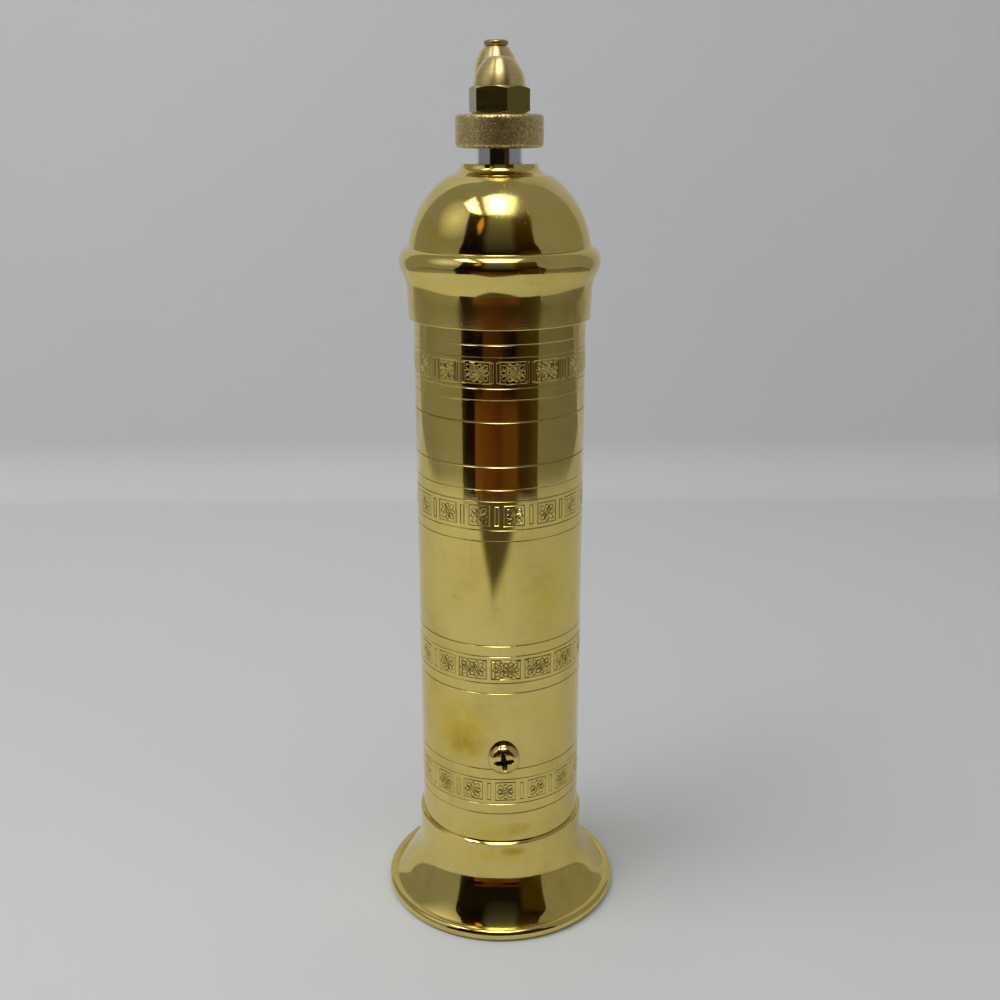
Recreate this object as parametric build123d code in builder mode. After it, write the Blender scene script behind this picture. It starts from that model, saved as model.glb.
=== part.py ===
"""Brass crank pepper mill.

A tall brass tube stands in a flared foot and holds a conical burr mill near its bottom. A lift-off domed cap
carries the steel shaft, the crank arm and its turning knob. A wheel under the mill sets the grind.
The frame has its origin on the table at the tube's axis, +Z up, and the crank arm points along +Y.
All lengths are in millimetres and all angles in degrees.
"""

from build123d import *
import math
import os

os.makedirs("parts", exist_ok=True)

# ---------------------------------------------------------------- driving dimensions
fixed_gap = 0.02  # radial room between two pieces that are fixed to each other
running_gap = 0.05  # radial room between a shaft and the hole it turns in

# Tube
tube_radius = 21.5
tube_wall = 1.0
tube_bottom = 13.0
tube_top = 175.5
groove_depth = 0.12
groove_half_width = 0.18
band_heights = [39.0, 74.0, 115.2, 150.5]  # middles of the four engraved bands
band_line_offsets = [-6.6, -3.7, 3.7, 6.6]  # ring grooves above and below each band's middle
panel_line_heights = [127.6, 138.6]  # the two lines that frame the plain panel

# Foot
foot_radius = 31.8
rim_bead_radius = 1.6
rim_bead_height = 1.55
rim_crease_angle = 115.0
collar_radius = 22.4
collar_top = 23.9
flare_outline = [(22.4, 17.5), (23.3, 12.5), (24.25, 10.5), (26.35, 7.1), (28.5, 4.1)]
flare_edge_tilt = 48.0  # from upright, where the flare meets the rim bead
flare_inner_outline = [(28.7, 1.6), (27.3, 3.1), (25.2, 6.1), (23.1, 9.4), (21.6, 11.6)]

# Burr mill
housing_bottom = 43.0
housing_top = 59.0
housing_radius = 20.4
burr_seat_radius = 15.0
burr_seat_height = 44.0
housing_lip_radius = 13.0
funnel_bottom = 56.0
funnel_radius = 19.6
outer_burr_low_radius = 11.9
outer_burr_high_radius = 10.6
outer_burr_teeth = 28
inner_burr_top = 58.0
inner_burr_low_radius = 11.6
inner_burr_high_radius = 7.5
inner_burr_teeth = 14
tooth_depth = 1.1
tooth_twist = 24.0
spindle_radius = 3.0
spindle_bottom = 39.4
socket_radius = 6.0
socket_floor = 60.0
socket_top = 67.0
socket_width = 5.9

# Side screws, M4 with round pan heads
side_screw_count = 2
side_screw_azimuth = -88.6
side_screw_height = 49.2
side_screw_radius = 2.0
side_screw_reach = 15.8
head_radius = 4.2
head_height = 3.1
head_rim = 0.7
head_shoulder_height = 2.85
head_shoulder_radius = 2.4
recess_span = 4.8
recess_width = 1.25
recess_depth = 2.0

# Bridge under the burrs, with its two M3 screws
bridge_bottom = 32.0
bridge_bar_top = 36.0
bridge_width = 9.0
bridge_half_length = 19.6
bridge_post_inner = 15.3
bridge_screw_spread = 17.6
bridge_screw_radius = 1.5
bridge_screw_head_radius = 2.7
bridge_screw_head_height = 2.2
bridge_screw_top = 47.0

# Grind adjuster
adjuster_radius = 3.0  # M6 thread, pitch 1
adjuster_bottom = 12.5
washer_radius = 5.0
washer_thickness = 0.8
wheel_bottom = 14.0
wheel_top = 19.5
wheel_radius = 9.0
wheel_hub_radius = 5.5
wheel_hub_top = 23.5
wheel_notches = 30
wheel_notch_depth = 0.7
spring_radius = 4.3
spring_wire_radius = 0.45
spring_turns = 4

# Cap
cap_bottom = 160.6
skirt_radius = 22.6
skirt_bore_radius = 21.8
skirt_top = (22.8, 165.5)
bead_outline = [(22.98, 168.0), (23.5, 170.4), (24.45, 172.6), (24.83, 174.8), (23.85, 177.1)]
bead_crease = (22.41, 178.0)
dome_centre = 176.0
dome_radius = 22.5
dome_inner_radius = 20.6
dome_edge_radius = 12.6
neck_outline = [(10.7, 195.3), (9.6, 196.3)]
neck_radius = 9.2
neck_top = 197.4
neck_boss_radius = 9.0
neck_boss_bottom = 188.0
bush_radius = 7.4
bush_bottom = 187.0
bush_top = 196.2
neck_hole_radius = 5.7

# Shaft and sleeve
shaft_radius = 4.0  # M8 at its upper end
shaft_square = 5.6
shaft_bottom = 61.4
shaft_square_top = 72.0
shaft_top = 214.0
sleeve_radius = 5.4
sleeve_lower_radius = 4.9
sleeve_bottom = 184.0
clip_bottom = 185.6
clip_thickness = 1.0
clip_radius = 7.0
clip_groove_radius = 4.55
clip_opening = 5.0
pin_radius = 1.0
pin_height = 191.0

# Crank
hub_bottom = 200.95
hub_top = 208.7
hub_radius = 10.6
hub_corner = 1.0
crank_throw = 58.0
arm_root_width = 14.0
arm_tip_width = 10.5
arm_bottom = 203.0
arm_top = 208.1
boss_radius = 6.5
boss_bottom = 202.2
arm_corner = 1.2

# Acorn nut, M8
nut_across_flats = 13.0
nut_turn = -17.0
nut_chamfer_radius = 6.3
nut_hex_top = 215.0
nut_dome_base = 214.8
nut_dome_radius = 6.2
nut_dome_outline = [(5.58, 217.97), (4.27, 220.0)]
nut_top = 221.7

# Knob and its riveted pin
knob_washer_radius = 5.2
knob_washer_thickness = 0.5
knob_bottom = 209.25
knob_top = 227.0
knob_radius = 6.15
knob_half_length = 9.0
knob_middle = 219.5
knob_base_radius = 5.0
knob_base_top = 210.9
knob_waist = (4.05, 212.7)
knob_pin_radius = 2.5
rivet_radius = 3.5
rivet_bottom = 227.15
rivet_top = 228.75
tail_radius = 3.8
tail_thickness = 0.8

# ---------------------------------------------------------------- worked-out values
tube_bore_radius = tube_radius - tube_wall
groove_heights = [band + offset for band in band_heights for offset in band_line_offsets] + panel_line_heights
screw_turn = math.radians(side_screw_azimuth)
screw_direction = Vector(math.cos(screw_turn), math.sin(screw_turn), 0)
screw_tangent = Vector(-math.sin(screw_turn), math.cos(screw_turn), 0)
screw_centre = Vector(0, 0, side_screw_height)
screw_section = Plane(origin=screw_centre, x_dir=screw_direction, z_dir=-screw_tangent)
screw_axis = Axis(screw_centre, screw_direction)
knob_plane = Plane(origin=(0, crank_throw, 0), x_dir=(1, 0, 0), z_dir=(0, -1, 0))
knob_axis = Axis((0, crank_throw, 0), (0, 0, 1))


def side_screw_plane(reach):
    """The plane square to the front side screw, at a distance from the mill's axis."""
    return Plane(
        origin=screw_centre + screw_direction * reach,
        x_dir=screw_tangent,
        z_dir=screw_direction,
    )


# ---------------------------------------------------------------- body: tube
with BuildPart() as body_tube:
    with BuildSketch(Plane.XY.offset(tube_bottom)):
        Circle(tube_radius)
        Circle(tube_bore_radius, mode=Mode.SUBTRACT)
    extrude(amount=tube_top - tube_bottom)
    # V-shaped ring grooves, turned into the outside.
    with BuildSketch(Plane.XZ):
        for height in groove_heights:
            with Locations((tube_radius, height)):
                Polygon(
                    (-groove_depth, 0),
                    (groove_half_width, -2 * groove_half_width),
                    (groove_half_width, 2 * groove_half_width),
                    align=None,
                )
    revolve(axis=Axis.Z, mode=Mode.SUBTRACT)
    # One clearance hole for each side screw.
    with BuildSketch(side_screw_plane(side_screw_reach)):
        Circle(side_screw_radius + running_gap)
    screw_hole = extrude(amount=tube_radius - side_screw_reach + 1, mode=Mode.PRIVATE)
    with PolarLocations(0, side_screw_count):
        add(screw_hole, mode=Mode.SUBTRACT)
body_tube.part.label = "body_tube"
export_step(body_tube.part, "parts/body_tube.step")

# ---------------------------------------------------------------- body: flared foot
rim_centre_radius = foot_radius - rim_bead_radius
crease_turn = math.radians(rim_crease_angle)
rim_crease = (
    rim_centre_radius + rim_bead_radius * math.cos(crease_turn),
    rim_bead_height + rim_bead_radius * math.sin(crease_turn),
)
land_half_width = math.sqrt(rim_bead_radius**2 - rim_bead_height**2)
collar_lip = (collar_radius - tube_radius) / 2
edge_turn = math.radians(flare_edge_tilt)
flare_edge_direction = (math.sin(edge_turn), -math.cos(edge_turn))
with BuildPart() as foot:
    with BuildSketch(Plane.XZ):
        with BuildLine():
            ThreePointArc(
                (tube_radius, collar_top - collar_lip),
                (tube_radius + collar_lip, collar_top),
                (collar_radius, collar_top - collar_lip),
            )
            Line((collar_radius, collar_top - collar_lip), flare_outline[0])
            Spline(*flare_outline, rim_crease, tangents=[(0, -1), flare_edge_direction])
            ThreePointArc(
                rim_crease,
                (foot_radius, rim_bead_height),
                (rim_centre_radius + land_half_width, 0),
            )
            Line((rim_centre_radius + land_half_width, 0), (rim_centre_radius - land_half_width, 0))
            Line((rim_centre_radius - land_half_width, 0), flare_inner_outline[0])
            Spline(*flare_inner_outline, (tube_bore_radius, tube_bottom))
            Line((tube_bore_radius, tube_bottom), (tube_radius, tube_bottom))
            Line((tube_radius, tube_bottom), (tube_radius, collar_top - collar_lip))
        make_face()
    revolve(axis=Axis.Z)
foot.part.label = "foot"
export_step(foot.part, "parts/foot.step")

# ---------------------------------------------------------------- body: burr housing
with BuildPart() as burr_housing:
    with BuildSketch(Plane.XZ):
        with BuildLine():
            Polyline(
                (housing_lip_radius, housing_bottom),
                (housing_radius, housing_bottom),
                (housing_radius, housing_top),
                (funnel_radius, housing_top),
                (burr_seat_radius, funnel_bottom),
                (burr_seat_radius, burr_seat_height),
                (housing_lip_radius, burr_seat_height),
                close=True,
            )
        make_face()
    revolve(axis=Axis.Z)
    # Tapped holes for the side screws, at the thread's outer radius.
    with BuildSketch(side_screw_plane(side_screw_reach - fixed_gap)):
        Circle(side_screw_radius + fixed_gap)
    tapped_hole = extrude(amount=housing_radius - side_screw_reach + 1, mode=Mode.PRIVATE)
    with PolarLocations(0, side_screw_count):
        add(tapped_hole, mode=Mode.SUBTRACT)
    # Tapped holes for the bridge's screws, from below.
    with BuildSketch(Plane.XY.offset(housing_bottom)):
        with Locations((bridge_screw_spread, 0), (-bridge_screw_spread, 0)):
            Circle(bridge_screw_radius + fixed_gap)
    extrude(amount=bridge_screw_top - housing_bottom + fixed_gap, mode=Mode.SUBTRACT)
burr_housing.part.label = "burr_housing"
export_step(burr_housing.part, "parts/burr_housing.step")

# ---------------------------------------------------------------- body: outer burr ring
outer_burr_outside = burr_seat_radius - fixed_gap
with BuildPart() as outer_burr_tooth_gap:
    for height, radius, turn in (
        (burr_seat_height - 1, outer_burr_low_radius, tooth_twist),
        (funnel_bottom + 1, outer_burr_high_radius, 0),
    ):
        with BuildSketch(Plane.XY.offset(height).rotated((0, 0, turn))):
            Polygon(
                (radius - tooth_depth, -tooth_depth),
                (radius - tooth_depth, tooth_depth),
                (radius + tooth_depth / 2, 0),
                align=None,
            )
    loft()
with BuildPart() as outer_burr:
    with BuildSketch(Plane.XZ):
        with BuildLine():
            Polyline(
                (outer_burr_low_radius, burr_seat_height),
                (outer_burr_outside, burr_seat_height),
                (outer_burr_outside, funnel_bottom),
                (outer_burr_high_radius, funnel_bottom),
                close=True,
            )
        make_face()
    revolve(axis=Axis.Z)
    with PolarLocations(0, outer_burr_teeth):
        add(outer_burr_tooth_gap.part, mode=Mode.SUBTRACT)
outer_burr.part.label = "outer_burr"
export_step(outer_burr.part, "parts/outer_burr.step")

# ---------------------------------------------------------------- body: side screws, front and back
with BuildPart() as side_screw:
    with BuildSketch(screw_section):
        with BuildLine():
            Polyline(
                (side_screw_reach, 0),
                (side_screw_reach, side_screw_radius),
                (tube_radius, side_screw_radius),
                (tube_radius, head_radius),
                (tube_radius + head_rim, head_radius),
            )
            TangentArc(
                (tube_radius + head_rim, head_radius),
                (tube_radius + head_shoulder_height, head_shoulder_radius),
                tangent=(1, 0),
            )
            Polyline(
                (tube_radius + head_shoulder_height, head_shoulder_radius),
                (tube_radius + head_height, 0),
                (side_screw_reach, 0),
            )
        make_face()
    revolve(axis=screw_axis)
    # Cross recess in the head.
    with BuildSketch(side_screw_plane(tube_radius + head_height)):
        Rectangle(recess_span, recess_width)
        Rectangle(recess_width, recess_span)
    extrude(amount=-recess_depth, mode=Mode.SUBTRACT)
with BuildPart() as side_screws:
    with PolarLocations(0, side_screw_count):
        add(side_screw.part)
side_screws.part.label = "side_screws"
export_step(side_screws.part, "parts/side_screws.step")

# ---------------------------------------------------------------- body: bridge across the bottom of the housing
with BuildPart() as bridge:
    with BuildSketch(Plane.XZ.offset(-bridge_width / 2)):
        with BuildLine():
            Polyline(
                (-bridge_half_length, bridge_bottom),
                (bridge_half_length, bridge_bottom),
                (bridge_half_length, housing_bottom),
                (bridge_post_inner, housing_bottom),
                (bridge_post_inner, bridge_bar_top),
                (-bridge_post_inner, bridge_bar_top),
                (-bridge_post_inner, housing_bottom),
                (-bridge_half_length, housing_bottom),
                close=True,
            )
        make_face()
    extrude(amount=bridge_width)
    with Locations((0, 0, bridge_bar_top)):
        Hole(adjuster_radius + running_gap)
    with Locations((bridge_screw_spread, 0, housing_bottom), (-bridge_screw_spread, 0, housing_bottom)):
        Hole(bridge_screw_radius + fixed_gap)
bridge.part.label = "bridge"
export_step(bridge.part, "parts/bridge.step")

with BuildPart() as bridge_screws:
    with BuildSketch(Plane.XY.offset(bridge_bottom)):
        with Locations((bridge_screw_spread, 0), (-bridge_screw_spread, 0)):
            Circle(bridge_screw_radius)
    extrude(amount=bridge_screw_top - bridge_bottom)
    with BuildSketch(Plane.XY.offset(bridge_bottom)):
        with Locations((bridge_screw_spread, 0), (-bridge_screw_spread, 0)):
            Circle(bridge_screw_head_radius)
    extrude(amount=-bridge_screw_head_height)
    head_faces = bridge_screws.faces().filter_by(Axis.Z).group_by(Axis.Z)[0]
    fillet(head_faces.edges(), bridge_screw_head_height / 4)
    with BuildSketch(Plane.XY.offset(bridge_bottom - bridge_screw_head_height)):
        with Locations((bridge_screw_spread, 0), (-bridge_screw_spread, 0)):
            Rectangle(2 * bridge_screw_head_radius, bridge_screw_head_height / 3)
    extrude(amount=bridge_screw_head_height / 2, mode=Mode.SUBTRACT)
bridge_screws.part.label = "bridge_screws"
export_step(bridge_screws.part, "parts/bridge_screws.step")

# ---------------------------------------------------------------- thrust seat under the burr spindle
with BuildPart() as thrust_washer:
    with BuildSketch(Plane.XY.offset(spindle_bottom - washer_thickness)):
        Circle(washer_radius)
    extrude(amount=washer_thickness)
thrust_washer.part.label = "thrust_washer"
export_step(thrust_washer.part, "parts/thrust_washer.step")

# ---------------------------------------------------------------- adjuster: screw, wheel and spring
with BuildPart() as adjust_screw:
    with BuildSketch(Plane.XY.offset(adjuster_bottom)):
        Circle(adjuster_radius)
    extrude(amount=spindle_bottom - washer_thickness - adjuster_bottom)
    chamfer(adjust_screw.edges().group_by(Axis.Z)[0], adjuster_radius / 6)
adjust_screw.part.label = "adjust_screw"
export_step(adjust_screw.part, "parts/adjust_screw.step")

with BuildPart() as adjust_knob:
    with BuildSketch(Plane.XY.offset(wheel_bottom)):
        Circle(wheel_radius)
        with PolarLocations(wheel_radius, wheel_notches):
            Rectangle(wheel_notch_depth, wheel_notch_depth, rotation=45, mode=Mode.SUBTRACT)
    extrude(amount=wheel_top - wheel_bottom)
    with BuildSketch(Plane.XY.offset(wheel_top)):
        Circle(wheel_hub_radius)
    extrude(amount=wheel_hub_top - wheel_top)
    with Locations((0, 0, wheel_hub_top)):
        Hole(adjuster_radius + fixed_gap)
adjust_knob.part.label = "adjust_knob"
export_step(adjust_knob.part, "parts/adjust_knob.step")

spring_low = wheel_hub_top + spring_wire_radius + running_gap
spring_length = bridge_bottom - wheel_hub_top - 2 * (spring_wire_radius + running_gap)
with BuildPart() as adjust_spring:
    with BuildLine(Plane.XY.offset(spring_low)) as spring_path:
        Helix(pitch=spring_length / spring_turns, height=spring_length, radius=spring_radius)
    with BuildSketch(Plane(origin=spring_path.line @ 0, z_dir=spring_path.line % 0)):
        Circle(spring_wire_radius)
    sweep(is_frenet=True)
adjust_spring.part.label = "adjust_spring"
export_step(adjust_spring.part, "parts/adjust_spring.step")

# ---------------------------------------------------------------- turning burr and its spindle
with BuildPart() as inner_burr_tooth_gap:
    for height, radius, turn in (
        (housing_bottom - 1, inner_burr_low_radius, 0),
        (inner_burr_top + 1, inner_burr_high_radius, tooth_twist),
    ):
        with BuildSketch(Plane.XY.offset(height).rotated((0, 0, turn))):
            Polygon(
                (radius + tooth_depth, -1.3 * tooth_depth),
                (radius + tooth_depth, 1.3 * tooth_depth),
                (radius - tooth_depth / 2, 0),
                align=None,
            )
    loft()
with BuildPart() as inner_burr:
    with BuildSketch(Plane.XZ):
        with BuildLine():
            Polyline(
                (spindle_radius + fixed_gap, housing_bottom),
                (inner_burr_low_radius, housing_bottom),
                (inner_burr_high_radius, inner_burr_top),
                (spindle_radius + fixed_gap, inner_burr_top),
                close=True,
            )
        make_face()
    revolve(axis=Axis.Z)
    with PolarLocations(0, inner_burr_teeth):
        add(inner_burr_tooth_gap.part, mode=Mode.SUBTRACT)
inner_burr.part.label = "inner_burr"
export_step(inner_burr.part, "parts/inner_burr.step")

with BuildPart() as burr_spindle:
    with BuildSketch(Plane.XY.offset(spindle_bottom)):
        Circle(spindle_radius)
    extrude(amount=inner_burr_top - spindle_bottom)
    with BuildSketch(Plane.XY.offset(inner_burr_top)):
        Circle(socket_radius)
    extrude(amount=socket_top - inner_burr_top)
    chamfer(burr_spindle.edges().group_by(Axis.Z)[-1], socket_radius / 6)
    with BuildSketch(Plane.XY.offset(socket_floor)):
        Rectangle(socket_width, socket_width)
    extrude(amount=socket_top - socket_floor, mode=Mode.SUBTRACT)
burr_spindle.part.label = "burr_spindle"
export_step(burr_spindle.part, "parts/burr_spindle.step")

# ---------------------------------------------------------------- cap: skirt, bead, dome and neck in one piece
dome_edge = (dome_edge_radius, dome_centre + math.sqrt(dome_radius**2 - dome_edge_radius**2))
dome_inner_edge = (
    neck_boss_radius,
    dome_centre + math.sqrt(dome_inner_radius**2 - neck_boss_radius**2),
)
with BuildPart() as cap_dome:
    with BuildSketch(Plane.XZ):
        with BuildLine():
            Line((skirt_bore_radius, cap_bottom), (skirt_radius, cap_bottom))
            Line((skirt_radius, cap_bottom), skirt_top)
            Spline(
                skirt_top,
                *bead_outline,
                bead_crease,
                tangents=((0, 1), (-1, 0.1)),
            )
            RadiusArc(bead_crease, dome_edge, -dome_radius)
            Spline(dome_edge, *neck_outline, (neck_radius, neck_top))
            Polyline(
                (neck_radius, neck_top),
                (neck_hole_radius, neck_top),
                (neck_hole_radius, bush_top),
                (bush_radius, bush_top),
                (bush_radius, neck_boss_bottom),
                (neck_boss_radius, neck_boss_bottom),
                dome_inner_edge,
            )
            RadiusArc(dome_inner_edge, (dome_inner_radius, dome_centre), dome_inner_radius)
            Polyline(
                (dome_inner_radius, dome_centre),
                (dome_inner_radius, tube_top),
                (skirt_bore_radius, tube_top),
                (skirt_bore_radius, cap_bottom),
            )
        make_face()
    revolve(axis=Axis.Z)
cap_dome.part.label = "cap_dome"
export_step(cap_dome.part, "parts/cap_dome.step")

with BuildPart() as neck_bush:
    with BuildSketch(Plane.XY.offset(bush_bottom)):
        Circle(bush_radius - fixed_gap)
    extrude(amount=bush_top - bush_bottom)
    with BuildSketch(Plane.XY.offset(bush_bottom)):
        Circle(neck_boss_radius)
    extrude(amount=neck_boss_bottom - bush_bottom)
    with Locations((0, 0, bush_top)):
        Hole(sleeve_lower_radius + running_gap)
neck_bush.part.label = "neck_bush"
export_step(neck_bush.part, "parts/neck_bush.step")

# ---------------------------------------------------------------- crank: shaft, sleeve, pin and clip
with BuildPart() as drive_shaft:
    with BuildSketch(Plane.XY.offset(shaft_bottom)):
        Rectangle(shaft_square, shaft_square)
    extrude(amount=shaft_square_top - shaft_bottom)
    chamfer(drive_shaft.edges().group_by(Axis.Z)[0], shaft_square / 10)
    with BuildSketch(Plane.XY.offset(shaft_square_top)):
        Circle(shaft_radius)
    extrude(amount=shaft_top - shaft_square_top)
    chamfer(drive_shaft.edges().group_by(Axis.Z)[-1], shaft_radius / 6)
    with BuildSketch(Plane.YZ.offset(-shaft_radius)):
        with Locations((0, pin_height)):
            Circle(pin_radius + fixed_gap)
    extrude(amount=2 * shaft_radius, mode=Mode.SUBTRACT)
drive_shaft.part.label = "drive_shaft"
export_step(drive_shaft.part, "parts/drive_shaft.step")

with BuildPart() as shaft_sleeve:
    with BuildSketch(Plane.XZ):
        with BuildLine():
            Polyline(
                (shaft_radius + fixed_gap, sleeve_bottom),
                (sleeve_lower_radius, sleeve_bottom),
                (sleeve_lower_radius, clip_bottom - fixed_gap),
                (clip_groove_radius, clip_bottom - fixed_gap),
                (clip_groove_radius, clip_bottom + clip_thickness + fixed_gap),
                (sleeve_lower_radius, clip_bottom + clip_thickness + fixed_gap),
                (sleeve_lower_radius, bush_top),
                (sleeve_radius, bush_top),
                (sleeve_radius, hub_bottom),
                (shaft_radius + fixed_gap, hub_bottom),
                close=True,
            )
        make_face()
    revolve(axis=Axis.Z)
    with BuildSketch(Plane.YZ.offset(-sleeve_radius)):
        with Locations((0, pin_height)):
            Circle(pin_radius + fixed_gap)
    extrude(amount=2 * sleeve_radius, mode=Mode.SUBTRACT)
shaft_sleeve.part.label = "shaft_sleeve"
export_step(shaft_sleeve.part, "parts/shaft_sleeve.step")

sleeve_pin_half_length = sleeve_lower_radius - 4 * running_gap
with BuildPart() as sleeve_pin:
    with BuildSketch(Plane.YZ.offset(-sleeve_pin_half_length)):
        with Locations((0, pin_height)):
            Circle(pin_radius)
    extrude(amount=2 * sleeve_pin_half_length)
sleeve_pin.part.label = "sleeve_pin"
export_step(sleeve_pin.part, "parts/sleeve_pin.step")

with BuildPart() as shaft_circlip:
    with BuildSketch(Plane.XY.offset(clip_bottom)):
        Circle(clip_radius)
        Circle(clip_groove_radius + fixed_gap, mode=Mode.SUBTRACT)
        with Locations((0, -clip_radius)):
            Rectangle(clip_opening, 2 * clip_radius - clip_groove_radius, mode=Mode.SUBTRACT)
    extrude(amount=clip_thickness)
shaft_circlip.part.label = "shaft_circlip"
export_step(shaft_circlip.part, "parts/shaft_circlip.step")

# ---------------------------------------------------------------- crank: arm with its hub and end boss
with BuildPart() as crank_arm:
    with BuildSketch(Plane.XY.offset(arm_bottom)):
        with BuildLine():
            Polyline(
                (-arm_root_width / 2, 0),
                (arm_root_width / 2, 0),
                (arm_tip_width / 2, crank_throw),
                (-arm_tip_width / 2, crank_throw),
                close=True,
            )
        make_face()
    extrude(amount=arm_top - arm_bottom)
    fillet(crank_arm.faces().filter_by(Axis.Z).edges().filter_by(Axis.X, reverse=True), arm_corner)
    with BuildSketch(Plane.XY.offset(hub_bottom)):
        Circle(hub_radius)
    extrude(amount=hub_top - hub_bottom)
    with BuildSketch(Plane.XY.offset(boss_bottom)):
        with Locations((0, crank_throw)):
            Circle(boss_radius)
    extrude(amount=hub_top - boss_bottom)
    round_rims = crank_arm.faces().filter_by(Axis.Z).edges().filter_by(GeomType.CIRCLE)
    fillet(round_rims.filter_by(lambda rim: rim.length > math.pi * boss_radius), hub_corner)
    with Locations((0, 0, hub_top)):
        Hole(shaft_radius + fixed_gap)
    with Locations((0, crank_throw, hub_top)):
        Hole(knob_pin_radius + fixed_gap)
crank_arm.part.label = "crank_arm"
export_step(crank_arm.part, "parts/crank_arm.step")

# ---------------------------------------------------------------- crank: acorn nut
nut_corner_radius = nut_across_flats / math.sqrt(3)
nut_chamfer_rise = (nut_corner_radius - nut_chamfer_radius) * math.tan(math.radians(30))
with BuildPart() as acorn_nut:
    with BuildSketch(Plane.XY.offset(hub_top)):
        RegularPolygon(nut_across_flats / 2, 6, major_radius=False, rotation=nut_turn)
    extrude(amount=nut_hex_top - hub_top)
    # Both ends of the hexagon are chamfered by turning.
    with BuildSketch(Plane.XZ):
        with BuildLine():
            Polyline(
                (0, hub_top),
                (nut_chamfer_radius, hub_top),
                (nut_corner_radius, hub_top + nut_chamfer_rise),
                (nut_corner_radius, nut_hex_top - nut_chamfer_rise),
                (nut_chamfer_radius, nut_hex_top),
                (0, nut_hex_top),
                close=True,
            )
        make_face()
    revolve(axis=Axis.Z, mode=Mode.INTERSECT)
    with BuildSketch(Plane.XZ):
        with BuildLine():
            Spline(
                (nut_dome_radius, nut_dome_base),
                *nut_dome_outline,
                (0, nut_top),
                tangents=((0, 1), (-1, 0)),
            )
            Polyline((0, nut_top), (0, nut_dome_base), (nut_dome_radius, nut_dome_base))
        make_face()
    revolve(axis=Axis.Z)
    with BuildSketch(Plane.XY.offset(hub_top)):
        Circle(shaft_radius + fixed_gap)
    extrude(amount=shaft_top + fixed_gap - hub_top, mode=Mode.SUBTRACT)
acorn_nut.part.label = "acorn_nut"
export_step(acorn_nut.part, "parts/acorn_nut.step")

# ---------------------------------------------------------------- crank: knob pin and washer
rivet_half_height = (rivet_top - rivet_bottom) / 2
with BuildPart() as knob_pin:
    with BuildSketch(knob_plane):
        with BuildLine():
            Polyline(
                (0, boss_bottom - tail_thickness),
                (tail_radius, boss_bottom - tail_thickness),
                (tail_radius, boss_bottom),
                (knob_pin_radius, boss_bottom),
                (knob_pin_radius, rivet_bottom),
                (rivet_radius - rivet_half_height, rivet_bottom),
            )
            ThreePointArc(
                (rivet_radius - rivet_half_height, rivet_bottom),
                (rivet_radius, rivet_bottom + rivet_half_height),
                (rivet_radius - rivet_half_height, rivet_top),
            )
            Polyline(
                (rivet_radius - rivet_half_height, rivet_top),
                (0, rivet_top),
                (0, boss_bottom - tail_thickness),
            )
        make_face()
    revolve(axis=knob_axis)
knob_pin.part.label = "knob_pin"
export_step(knob_pin.part, "parts/knob_pin.step")

with BuildPart() as knob_washer:
    with BuildSketch(Plane.XY.offset(hub_top)):
        with Locations((0, crank_throw)):
            Circle(knob_washer_radius)
            Circle(knob_pin_radius + fixed_gap, mode=Mode.SUBTRACT)
    extrude(amount=knob_washer_thickness)
knob_washer.part.label = "knob_washer"
export_step(knob_washer.part, "parts/knob_washer.step")

# ---------------------------------------------------------------- knob
knob_top_turn = math.degrees(math.asin((knob_top - knob_middle) / knob_half_length))
knob_waist_turn = math.degrees(math.asin((knob_waist[1] - knob_middle) / knob_half_length))
knob_bore_radius = knob_pin_radius + running_gap
with BuildPart() as crank_knob:
    with BuildSketch(knob_plane):
        with BuildLine():
            belly = EllipticalCenterArc(
                (0, knob_middle),
                knob_radius,
                knob_half_length,
                start_angle=knob_waist_turn,
                arc_size=knob_top_turn - knob_waist_turn,
            )
            Spline(belly @ 0, (knob_waist[0], knob_base_top + 0.6), (knob_base_radius, knob_base_top))
            Polyline(
                (knob_base_radius, knob_base_top),
                (knob_base_radius, knob_bottom),
                (knob_bore_radius, knob_bottom),
                (knob_bore_radius, knob_top),
                belly @ 1,
            )
        make_face()
    revolve(axis=knob_axis)
crank_knob.part.label = "crank_knob"
export_step(crank_knob.part, "parts/crank_knob.step")
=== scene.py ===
"""Looks of a polished brass crank pepper mill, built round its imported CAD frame.

Lengths in this script are in millimetres until mesh_piece() turns them into metres. Angles round the mill
start at the front, which faces -Y, and grow towards +X.
"""

import math

import bmesh
import bpy
import numpy as np
from mathutils import Matrix, Vector
from mathutils.geometry import delaunay_2d_cdt


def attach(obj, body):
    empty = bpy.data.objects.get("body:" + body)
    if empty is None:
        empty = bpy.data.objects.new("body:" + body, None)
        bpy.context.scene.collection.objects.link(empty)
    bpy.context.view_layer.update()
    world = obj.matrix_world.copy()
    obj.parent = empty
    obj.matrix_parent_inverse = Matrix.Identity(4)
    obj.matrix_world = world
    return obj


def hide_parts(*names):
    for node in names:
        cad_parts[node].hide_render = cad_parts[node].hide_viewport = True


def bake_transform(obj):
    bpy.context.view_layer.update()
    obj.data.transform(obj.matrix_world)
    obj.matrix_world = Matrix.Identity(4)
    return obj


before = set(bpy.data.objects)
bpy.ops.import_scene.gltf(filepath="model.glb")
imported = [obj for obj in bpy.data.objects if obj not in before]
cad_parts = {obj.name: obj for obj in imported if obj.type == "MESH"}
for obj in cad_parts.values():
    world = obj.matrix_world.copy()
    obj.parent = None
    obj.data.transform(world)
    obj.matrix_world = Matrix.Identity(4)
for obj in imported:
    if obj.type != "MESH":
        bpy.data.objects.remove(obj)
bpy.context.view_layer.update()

MM = 0.001
scene = bpy.context.scene
rng = np.random.default_rng(7)


# ---------- mesh helpers
SHARP_ANGLE = math.radians(40)  # faces that meet more steeply get a sharp edge


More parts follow.
